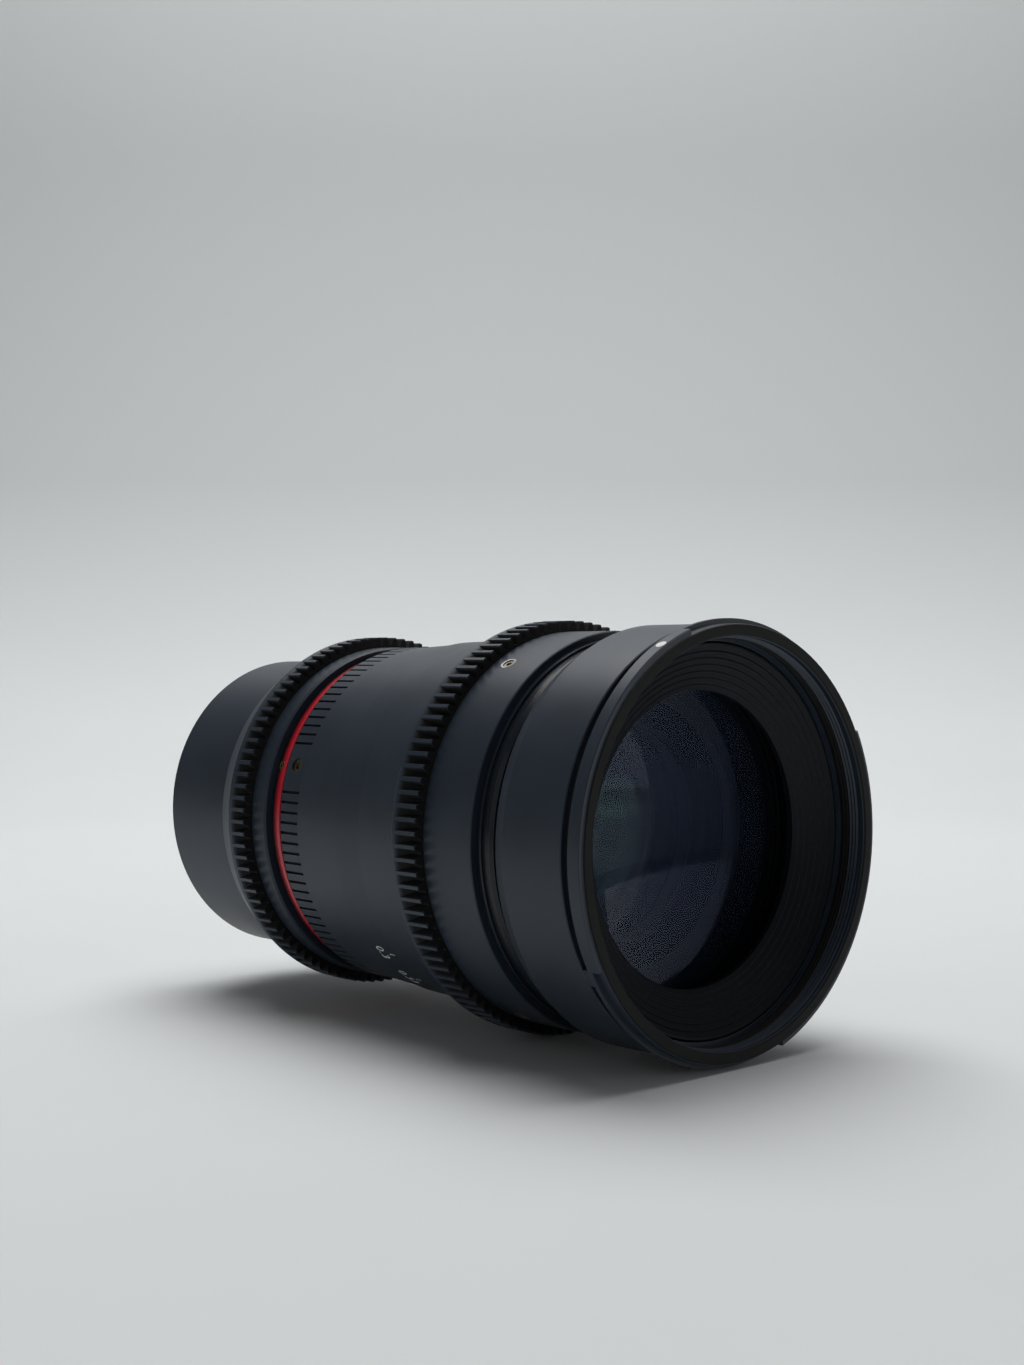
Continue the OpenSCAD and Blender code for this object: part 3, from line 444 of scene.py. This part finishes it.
def gloss_black(shade):
    """Polished black trim with fine turning lines and a painted highlight on its corners."""
    f = Finish("gloss_black")
    turning = f.lines(f.axial(), 5200)
    edge = f.edges(0.18 * MM)
    # Painted highlight: the corners are mixed towards a paler shade.
    base = f.mix(edge * 0.6, shade, lighter(shade, 7.0))
    return f.surface(base, 0.20 + turning * 0.10, f.bump(turning, 0.006 * MM, 0.3), Specular_IOR_Level=0.3)


def matte_black(name, shade, level):
    """Dull black paint with a dusty grain, tool rings and a painted highlight on its corners."""
    f = Finish(name)
    grain = f.noise(3800, 3.0)
    rings = f.lines(f.radial(), 4200)
    edge = f.edges(0.15 * MM)
    dusty = f.mix(grain * 0.5, lighter(shade, 0.8), lighter(shade, 1.3))
    # Painted highlight: the corners are mixed towards a paler shade.
    base = f.mix(edge * 0.8, dusty, lighter(shade, 7.0))
    return f.surface(base, 0.52 + (rings - 0.5) * 0.14, f.bump(grain + rings, 0.012 * MM, 0.4),
                     Specular_IOR_Level=level)


def turned_metal(name, shade, gloss, along_radius):
    """Bare metal off the lathe: fine rings, small stains and a painted highlight on the corners."""
    f = Finish(name)
    tool = f.lines(f.radial() if along_radius else f.axial(), 5200, 4.0)
    stain = f.noise(160, 4.0)
    edge = f.edges(0.2 * MM)
    dull = f.mix(f.ramp(stain, [(0.4, 0), (0.75, 1)]), shade, lighter(shade, 0.82))
    # Painted highlight: the corners are mixed towards a paler shade.
    base = f.mix(edge * 0.5, dull, lighter(shade, 1.35))
    rough = gloss + (tool - 0.5) * 0.16 + (stain - 0.5) * 0.08
    return f.surface(base, rough, f.bump(tool, 0.010 * MM, 0.5), Metallic=1.0)


def blade_steel(shade):
    """Blackened spring steel, rubbed along the way it slides."""
    f = Finish("blade_steel")
    rub = f.lines(f.radial(), 3000, 4.0)
    cloud = f.noise(220, 3.0)
    base = f.mix(rub * 0.6, lighter(shade, 0.7), lighter(shade, 1.6))
    return f.surface(base, 0.34 + (cloud - 0.5) * 0.2, f.bump(rub, 0.004 * MM, 0.4), Metallic=0.7)


def ink_white(shade):
    """White paint in an engraved mark, a little uneven."""
    f = Finish("ink_white")
    speck = f.noise(3000, 3.0)
    base = f.mix(f.ramp(speck, [(0.3, 0), (0.65, 1)]), lighter(shade, 0.86), shade)
    return f.surface(base, 0.55 + (speck - 0.5) * 0.2, f.bump(speck, 0.01 * MM, 0.4))


def coated_glass(name, tint, level, clear, hazy=False):
    """Lens glass with a wiped smear, its index lowered to the weak reflection that a coating leaves."""
    f = Finish(name)
    smear = f.ramp(f.noise(90, 4.0), [(0.45, 0), (0.80, 1)])
    base = f.mix(smear, clear, lighter(clear, 0.96))
    haze = (0.05 + smear * 0.02, HAZE) if hazy else None
    return f.surface(base, 0.0, None, haze, IOR=1.18, Transmission_Weight=1.0,
                     Specular_IOR_Level=level, Specular_Tint=(*tint, 1))


def paper(shade):
    """Pale background paper, with painted shade that makes the wall greyer than the floor."""
    f = Finish("stage_paper")
    cloud = f.noise(9, 4.0)
    fibre = f.noise(900, 2.0)
    height = f.node("ShaderNodeSeparateXYZ", None, {0: f.place()}, output=2) / WALL_SHADE_SPAN
    cloudy = f.mix(f.ramp(cloud, [(0.3, 0), (0.7, 1)]), lighter(shade, 0.985), lighter(shade, 1.01))
    # Painted shade: the paper is mixed greyer with height up the wall.
    base = f.mix(f.ramp(height, [(0.0, 0), (0.3, 1), (1.0, 0.85)]), cloudy, lighter(shade, 0.755))
    return f.surface(base, 0.75, f.bump(fibre, 0.05 * MM, 0.15), Specular_IOR_Level=0.2)


COATINGS = {
    "glass_1": (0.55, 0.66, 1.0),
    "glass_2": (0.35, 0.85, 0.60),
    "glass_3": (0.75, 0.45, 0.95),
    "glass_4": (0.45, 0.95, 0.60),
    "glass_5": (0.9, 0.6, 0.45),
}
PLAIN_COATING = (0.5, 0.7, 1.0)
FRONT_REFLECTION = 1.0
INNER_REFLECTION = 0.8
FRONT_CLEAR = (0.97, 0.98, 0.985)
INNER_CLEAR = (0.55, 0.68, 0.66)
HAZE = (0.26, 0.40, 0.75)


# Meshes

def new_piece(name, mesh, material, body):
    """A piece of the lens that rides on a body, with its finish."""
    piece = bpy.data.objects.new(name, mesh)
    bpy.context.scene.collection.objects.link(piece)
    mesh.materials.append(Finish.made[material])
    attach(piece, body)
    return piece


def mesh_from(name, bm):
    """Turns a bmesh into a mesh with outward normals."""
    bmesh.ops.recalc_face_normals(bm, faces=bm.faces)
    mesh = bpy.data.meshes.new(name)
    bm.to_mesh(mesh)
    bm.free()
    return mesh


def add_patch(bm, plan, wall):
    """Adds a thin closed patch of paint that follows a wall.

    plan is an outline of (station, angle) points, and wall gives the radius there.
    """
    radii = [wall(t, a) for t, a in plan]
    top = [bm.verts.new(on_lens(t, r + INK_PROUD, a)) for (t, a), r in zip(plan, radii)]
    low = [bm.verts.new(on_lens(t, r - INK_SUNK, a)) for (t, a), r in zip(plan, radii)]
    bm.faces.new(top)
    bm.faces.new(low[::-1])
    count = len(plan)
    for i in range(count):
        j = (i + 1) % count
        bm.faces.new((top[j], top[i], low[i], low[j]))


def line_plan(t0, t1, middle, width, radius):
    """Outline of a painted line along the axis."""
    half = math.degrees(width / 2 / radius)
    return [(t0, middle - half), (t1, middle - half), (t1, middle + half), (t0, middle + half)]


def disc_plan(t, middle, size, radius, sides=32):
    """Outline of a round dot on a wall of that radius."""
    turn = [2 * math.pi * k / sides for k in range(sides)]
    return [(t + size * math.cos(a), middle + math.degrees(size * math.sin(a) / radius)) for a in turn]


def add_rim(bm, t, middle, inner, outer, radius, seats):
    """Adds a thin closed rim round a hole, where seats are the wall's radii round the hole."""
    rings = []
    for size, rise in ((inner, -INK_SUNK), (inner, INK_PROUD / 2), (outer, INK_PROUD), (outer, -INK_SUNK)):
        plan = disc_plan(t, middle, size, radius)
        rings.append([bm.verts.new(on_lens(s, seat + rise, a)) for (s, a), seat in zip(plan, seats)])
    for near, far in zip(rings, rings[1:] + rings[:1]):
        count = len(near)
        for i in range(count):
            j = (i + 1) % count
            bm.faces.new((near[i], near[j], far[j], far[i]))


def lathe(bm, profile, closed=False, steps=160):
    """Turns a profile of (station, radius) points about the optical axis."""
    rings = []
    for t, radius in profile:
        count = steps if radius > 0 else 1
        rings.append([bm.verts.new(on_lens(t, radius, 360 * k / steps)) for k in range(count)])
    pairs = list(zip(rings, rings[1:]))
    if closed:
        pairs.append((rings[-1], rings[0]))
    for near, far in pairs:
        for k in range(steps):
            spots = [near[k % len(near)], near[(k + 1) % len(near)]]
            spots += [far[(k + 1) % len(far)], far[k % len(far)]]
            bm.faces.new(list(dict.fromkeys(spots)))


def rounded(mesh):
    """Shades a turned mesh smooth, with its corners sharp."""
    mesh.shade_smooth()
    mesh.set_sharp_from_angle(angle=math.radians(30))
    return mesh


def add_number(bm, text, t, middle, height, wall):
    """Adds a painted number that reads along the ring, its foot towards the mount."""
    curve = bpy.data.curves.new("number", "FONT")
    curve.body = text
    curve.align_x = "CENTER"
    curve.align_y = "CENTER"
    curve.size = height * DIGIT_SIZE
    curve.resolution_u = 3
    shape = bpy.data.objects.new("number", curve)
    bpy.context.scene.collection.objects.link(shape)
    flat = shape.evaluated_get(bpy.context.evaluated_depsgraph_get()).to_mesh()
    part = bmesh.new()
    part.from_mesh(flat)
    bpy.data.objects.remove(shape)
    bpy.data.curves.remove(curve)
    bmesh.ops.remove_doubles(part, verts=part.verts, dist=MERGE)
    raised = bmesh.ops.extrude_face_region(part, geom=part.faces[:])["geom"]
    tops = {v for v in raised if isinstance(v, bmesh.types.BMVert)}
    for v in part.verts:
        station = t + v.co.y
        turn = middle + math.degrees(v.co.x / wall(station, middle))
        rise = INK_PROUD if v in tops else -INK_SUNK
        v.co = on_lens(station, wall(station, turn) + rise, turn)
    bmesh.ops.recalc_face_normals(part, faces=part.faces)
    joined = bpy.data.meshes.new("number")
    part.to_mesh(joined)
    part.free()
    bm.from_mesh(joined)
    bpy.data.meshes.remove(joined)


# Operators

class LENS_OT_finishes(bpy.types.Operator):
    """Make every finish and put it on the CAD nodes"""

    bl_idname = "lens.finishes"
    bl_label = "Finishes"

    def execute(self, context):
        c = context.scene.lens_colours
        anodised("satin_black", c.satin_black, 0.43, 0.35, self.shaded_grooves(context.scene.lens_sizes))
        red_anodised(c.red, *reach("red_ring")[:2])
        gloss_black(c.gloss_black)
        matte_black("matte_black", c.matte_black, 0.18)
        # stop_black is the matte black at 0.15 of its shade: a shaded copy, painted shade for the dark
        # inside of the lens.
        matte_black("stop_black", lighter(c.matte_black, 0.15), 0.02)
        coated_glass("front_coating", COATINGS["glass_1"], FRONT_REFLECTION, FRONT_CLEAR, True)
        anodised("dark_alloy", c.dark_alloy, 0.60, 0.2)
        turned_metal("mount_chrome", c.chrome, 0.24, True)
        turned_metal("screw_steel", c.steel, 0.30, True)
        turned_metal("screw_brass", c.dull_brass, 0.42, False)
        turned_metal("bare_rim", c.bare_rim, 0.38, False)
        turned_metal("helicoid_brass", c.brass, 0.30, False)
        blade_steel(c.blade)
        ink_white(c.ink)
        for row in frame["record"]["subparts"]:
            name = row["node"]
            slot = row["material_slot"]
            finish = self.coating(name) if slot == "coated_glass" else slot
            solid = frame["nodes"][name]
            solid.data.materials.clear()
            solid.data.materials.append(Finish.made[finish])
        return {"FINISHED"}

    def shaded_grooves(self, size):
        """Dull bands of the satin black that get painted shade: between the teeth, in the notches, under
        the hood lugs and at the front edge.
        """
        focus_end, focus_tip = reach("focus_ring")[1:]
        focus_teeth_end = focus_end - size.focus_teeth_back
        stop_end, stop_tip = reach("aperture_ring")[1:]
        stop_teeth_end = stop_end - size.stop_teeth_back
        notches = reach("fixed_barrel")[0]
        lip, lug = reach("front_barrel")[1:]
        return [
            (focus_teeth_end - size.focus_teeth, focus_teeth_end, focus_tip),
            (stop_teeth_end - size.stop_teeth, stop_teeth_end, stop_tip),
            (notches + size.notch_from, notches + size.notch_to, size.notch_wall),
            (lip - size.hood_groove_from, lip - size.hood_groove_to, lug - size.hood_groove_depth),
            (lip - size.lip_edge, lip + size.lip_edge, OUTSIDE),
        ]

    def coating(self, glass):
        """Makes the coating of one glass and gives its name."""
        name = glass + "_coating"
        front = glass == "glass_1"
        coated_glass(name, COATINGS.get(glass, PLAIN_COATING),
                     FRONT_REFLECTION if front else INNER_REFLECTION,
                     FRONT_CLEAR if front else INNER_CLEAR)
        return name


class LENS_OT_filter_thread(bpy.types.Operator):
    """Cut the fine filter thread inside the front lip"""

    bl_idname = "lens.filter_thread"
    bl_label = "Filter thread"

    def execute(self, context):
        size = context.scene.lens_sizes
        mount = next(m for m in frame["record"]["mounts"] if m["name"] == "filter_thread")
        bore = mount["dims"]["r_mm"] * MM
        depth = mount["dims"]["length_mm"] * MM
        pitch = size.thread_pitch
        flank = THREAD_FLANK * pitch
        root = bore + size.thread_root
        start = reach("front_barrel")[1] - size.thread_in - depth + pitch
        count = int((depth - 2 * pitch) / pitch * THREAD_STEPS)
        bm = bmesh.new()
        rings = []
        for k in range(count + 1):
            t = start + pitch * k / THREAD_STEPS
            turn = 360 * k / THREAD_STEPS
            crest = bore - size.thread_height * min(1.0, k / THREAD_RUN_OUT, (count - k) / THREAD_RUN_OUT)
            outline = [(t - flank, root), (t, crest), (t + flank, root)]
            rings.append([bm.verts.new(on_lens(s, r, turn)) for s, r in outline])
        for near, far in zip(rings, rings[1:]):
            for i in range(3):
                j = (i + 1) % 3
                bm.faces.new((near[i], near[j], far[j], far[i]))
        bm.faces.new(rings[0][::-1])
        bm.faces.new(rings[-1])
        new_piece("filter_thread", mesh_from("filter_thread", bm), "satin_black", "barrel")
        return {"FINISHED"}


class LENS_OT_front_glass(bpy.types.Operator):
    """Turn the hollow front glass and the dark stop behind it"""

    bl_idname = "lens.front_glass"
    bl_label = "Front glass"

    def execute(self, context):
        size = context.scene.lens_sizes
        rear, _, rim = reach("glass_1")
        edge = reach("front_retaining_ring")[0] - size.glass_edge_back
        steps = 24
        radii = [size.glass_clear * k / steps for k in range(steps + 1)]
        front = [(edge - self.sag(size.glass_hollow, size.glass_clear) + self.sag(size.glass_hollow, r), r)
                 for r in radii]
        seats = [size.glass_seat * k / steps for k in range(steps, -1, -1)]
        bowl = self.sag(size.glass_back, size.glass_seat)
        back = [(rear + bowl - self.sag(size.glass_back, r), r) for r in seats]
        bm = bmesh.new()
        lathe(bm, front + [(edge, rim), (rear, rim)] + back)
        glass = new_piece("front_glass", rounded(mesh_from("front_glass", bm)), "front_coating",
                          "focus_carriage")
        glass.data.materials.append(Finish.made["glass_1_coating"])
        # The blacked rim of the glass gets stop_black too: its real black edge, with painted shade on top.
        glass.data.materials.append(Finish.made["stop_black"])
        hazy_front, clear_back, black_rim = range(3)
        behind = front[0][0] - size.glass_edge_back
        for face in glass.data.polygons:
            inner = min(math.hypot(*glass.data.vertices[v].co.xz) for v in face.vertices)
            face.material_index = clear_back if -face.center.y < behind else hazy_front
            if inner > size.glass_blacked:
                face.material_index = black_rim
        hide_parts("glass_1")
        self.stop(size)
        return {"FINISHED"}

    def stop(self, size):
        """Dark ring between the first two glasses."""
        rear, front, rim = reach("front_spacer")
        lean = rear + size.stop_lean
        corner = 0.4 * MM
        bm = bmesh.new()
        lathe(bm, [(lean, size.stop_radius), (rear, rim), (front, rim), (front, size.stop_radius + corner),
                   (front - corner, size.stop_radius)], closed=True)
        ring = new_piece("front_stop", rounded(mesh_from("front_stop", bm)), "stop_black",
                         "focus_carriage")
        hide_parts("front_spacer")

    @staticmethod
    def sag(curve, radius):
        """Depth of a curve at that distance from the axis."""
        return curve - math.sqrt(curve * curve - radius * radius)


class LENS_OT_screw_rims(bpy.types.Operator):
    """Cut bare rims round the sunk screws of the focus ring and the red ring"""

    bl_idname = "lens.screw_rims"
    bl_label = "Screw rims"

    def execute(self, context):
        size = context.scene.lens_sizes
        self.rims(size, "focus_ring", "focus_ring_screws", "focus_ring", size.screw_first,
                  size.screw_rim, "bare_rim")
        self.rims(size, "red_ring", "red_ring_screws", "barrel", size.red_screw_first,
                  size.screw_rim / 2, "helicoid_brass")
        return {"FINISHED"}

    def rims(self, size, ring, screws, body, first, width, finish):
        """A bare rim round each screw's hole, and the face of its head just under the wall."""
        rear, front, _ = reach(screws)
        middle = (rear + front) / 2
        hole = (front - rear) / 2
        radius = reach(ring)[2]
        wall = wall_of(ring)
        bm = bmesh.new()
        faces = bmesh.new()
        for turn in SCREW_TURNS:
            a = first + turn
            seats = [wall(s, b) for s, b in disc_plan(middle, a, hole + width, radius)]
            sunk = [seat - size.screw_sunk for seat in seats]
            add_rim(bm, middle, a, hole + size.screw_rim_gap, hole + width, radius, seats)
            add_rim(faces, middle, a, hole * SOCKET_SHARE, hole - size.screw_gap, radius, sunk)
        for name, made, look in ((screws + "_rims", bm, finish), (screws + "_faces", faces, "screw_brass")):
            new_piece(name, mesh_from(name, made), look, body)


class LENS_OT_focus_scale(bpy.types.Operator):
    """Paint the distance numbers on the focus ring and the index line beside it"""

    bl_idname = "lens.focus_scale"
    bl_label = "Focus scale"

    def execute(self, context):
        size = context.scene.lens_sizes
        rear, _, radius = reach("focus_ring")
        wall = wall_of("focus_ring")
        bm = bmesh.new()
        near = float(DISTANCES[0])
        for text in DISTANCES:
            a = size.focus_index - size.focus_turn * near / float(text)
            add_number(bm, text, rear + size.digit_in, a, size.digit_height, wall)
            tick = line_plan(rear + size.tick_from, rear + size.tick_to, a, size.tick_width, radius)
            add_patch(bm, tick, wall)
        new_piece("distance_scale", mesh_from("distance_scale", bm), "ink_white",
                  "focus_ring")
        bm = bmesh.new()
        index = line_plan(rear - size.index_from, rear - size.focus_index_to, size.focus_index,
                          size.line_width, radius)
        add_patch(bm, index, wall_of("fixed_barrel"))
        new_piece("focus_index", mesh_from("focus_index", bm), "ink_white", "barrel")
        return {"FINISHED"}


class LENS_OT_aperture_scale(bpy.types.Operator):
    """Paint the stop numbers on the aperture ring and the index line behind it"""

    bl_idname = "lens.aperture_scale"
    bl_label = "Aperture scale"

    def execute(self, context):
        size = context.scene.lens_sizes
        rear, _, radius = reach("aperture_ring")
        wall = wall_of("aperture_ring")
        open_stop = float(STOPS[0])
        shut_stop = float(STOPS[-1])
        bm = bmesh.new()
        for text in STOPS:
            share = math.log(float(text) / open_stop) / math.log(shut_stop / open_stop)
            a = size.aperture_index - size.aperture_turn * share
            add_number(bm, text, rear + size.stop_digit_in, a, size.stop_digit_height, wall)
        new_piece("stop_scale", mesh_from("stop_scale", bm), "ink_white", "aperture_ring")
        bm = bmesh.new()
        index = line_plan(rear - size.index_from, rear - size.stop_index_to, size.aperture_index,
                          size.line_width, radius)
        add_patch(bm, index, wall_of("rear_barrel"))
        new_piece("aperture_index", mesh_from("aperture_index", bm), "ink_white", "barrel")
        return {"FINISHED"}


class LENS_OT_dots(bpy.types.Operator):
    """Paint the white dots that line up a hood and the camera"""

    bl_idname = "lens.dots"
    bl_label = "Dots"

    def execute(self, context):
        size = context.scene.lens_sizes
        _, lip, lug = reach("front_barrel")
        self.dot("hood_dot", "front_barrel", lip - size.hood_dot_back, size.hood_dot_angle,
                 size.hood_dot_radius, lug)
        _, _, radius = reach("rear_barrel")
        start = reach("mount_flange")[1]
        self.dot("mount_dot", "rear_barrel", start + 2 * size.mount_dot_radius, size.aperture_index,
                 size.mount_dot_radius, radius)
        return {"FINISHED"}

    def dot(self, name, node, t, angle, size, radius):
        bm = bmesh.new()
        wall = wall_of(node)(t, angle)
        add_patch(bm, disc_plan(t, angle, size, radius), lambda t, angle: wall)
        new_piece(name, mesh_from(name, bm), "ink_white", "barrel")


class LENS_OT_stage(bpy.types.Operator):
    """Set the camera, the pale sweep of paper and the soft lamps"""

    bl_idname = "lens.stage"
    bl_label = "Stage"

    def execute(self, context):
        stage = context.scene.lens_stage
        self.camera(context, stage)
        self.backdrop(context, stage)
        self.lamps(context, stage)
        context.scene.view_settings.view_transform = "Standard"
        return {"FINISHED"}

    def camera(self, context, stage):
        data = bpy.data.cameras.new("camera")
        data.lens = stage.camera_lens
        data.sensor_width = SENSOR_SIDE
        data.clip_start = NEAR_CLIP
        eye = bpy.data.objects.new("camera", data)
        context.scene.collection.objects.link(eye)
        eye.location = stage.camera_place
        aim = Vector(stage.camera_target) - Vector(stage.camera_place)
        eye.rotation_euler = aim.to_track_quat("-Z", "Y").to_euler()
        context.scene.camera = eye

    def backdrop(self, context, stage):
        away = Vector(stage.camera_target) - Vector(stage.camera_place)
        away.z = 0
        away.normalize()
        across = Vector((-away.y, away.x, 0))
        floor = CAD_BOX[0].z
        centre = (CAD_BOX[0] + CAD_BOX[1]) / 2
        profile = [(-stage.floor_behind, 0.0)]
        steps = 24
        for k in range(steps + 1):
            a = math.pi / 2 * k / steps
            profile.append((stage.floor_ahead + stage.sweep_radius * math.sin(a),
                            stage.sweep_radius * (1 - math.cos(a))))
        profile.append((stage.floor_ahead + stage.sweep_radius, stage.wall_height))
        bm = bmesh.new()
        rows = []
        for s, rise in profile:
            middle = Vector((centre.x, centre.y, floor + rise)) + away * s
            rows.append([bm.verts.new(middle + across * side * stage.stage_width / 2) for side in (-1, 1)])
        for near, far in zip(rows, rows[1:]):
            bm.faces.new((near[0], far[0], far[1], near[1]))
        mesh = mesh_from("backdrop", bm)
        mesh.shade_smooth()
        sweep = bpy.data.objects.new("backdrop", mesh)
        context.scene.collection.objects.link(sweep)
        mesh.materials.append(paper(context.scene.lens_colours.paper))

    def lamps(self, context, stage):
        centre = (CAD_BOX[0] + CAD_BOX[1]) / 2
        square = (stage.lamp_size, stage.lamp_size)
        wide = (stage.front_width, stage.front_height)
        for name, shift, sides, watts in (
                ("overhead", stage.lamp_place, square, stage.lamp_power),
                ("fill", stage.fill_place, square, stage.fill_power),
                ("front", stage.front_place, wide, stage.front_power)):
            self.lamp(context, name, centre + Vector(shift), centre, sides, watts)
        world = bpy.data.worlds.new("room")
        world.use_nodes = True
        level = stage.world_level
        world.node_tree.nodes["Background"].inputs["Color"].default_value = (level, level, level, 1)
        context.scene.world = world

    def lamp(self, context, name, place, target, sides, watts):
        data = bpy.data.lights.new(name, "AREA")
        data.shape = "RECTANGLE"
        data.size, data.size_y = sides
        data.energy = watts
        made = bpy.data.objects.new(name, data)
        made.visible_camera = False
        context.scene.collection.objects.link(made)
        made.location = place
        made.rotation_euler = (target - place).to_track_quat("-Z", "Y").to_euler()


OPERATORS = (
    LENS_OT_finishes,
    LENS_OT_front_glass,
    LENS_OT_filter_thread,
    LENS_OT_screw_rims,
    LENS_OT_focus_scale,
    LENS_OT_aperture_scale,
    LENS_OT_dots,
    LENS_OT_stage,
)


class LENS_PT_panel(bpy.types.Panel):
    """Sidebar panel that lists the lens's operators"""

    bl_idname = "LENS_PT_panel"
    bl_label = "Cinema prime lens"
    bl_space_type = "VIEW_3D"
    bl_region_type = "UI"
    bl_category = "Lens"

    def draw(self, context):
        for operator in OPERATORS:
            self.layout.operator(operator.bl_idname)


CLASSES = (LensSizes, LensColours, StageSizes, *OPERATORS, LENS_PT_panel)


def register():
    for cls in CLASSES:
        bpy.utils.register_class(cls)
    bpy.types.Scene.lens_sizes = bpy.props.PointerProperty(type=LensSizes)
    bpy.types.Scene.lens_colours = bpy.props.PointerProperty(type=LensColours)
    bpy.types.Scene.lens_stage = bpy.props.PointerProperty(type=StageSizes)


def unregister():
    del bpy.types.Scene.lens_stage
    del bpy.types.Scene.lens_colours
    del bpy.types.Scene.lens_sizes
    for cls in reversed(CLASSES):
        bpy.utils.unregister_class(cls)


def main():
    register()
    bpy.ops.lens.finishes()
    bpy.ops.lens.front_glass()
    bpy.ops.lens.filter_thread()
    bpy.ops.lens.screw_rims()
    bpy.ops.lens.focus_scale()
    bpy.ops.lens.aperture_scale()
    bpy.ops.lens.dots()
    bpy.ops.lens.stage()


if __name__ == "__main__":
    main()
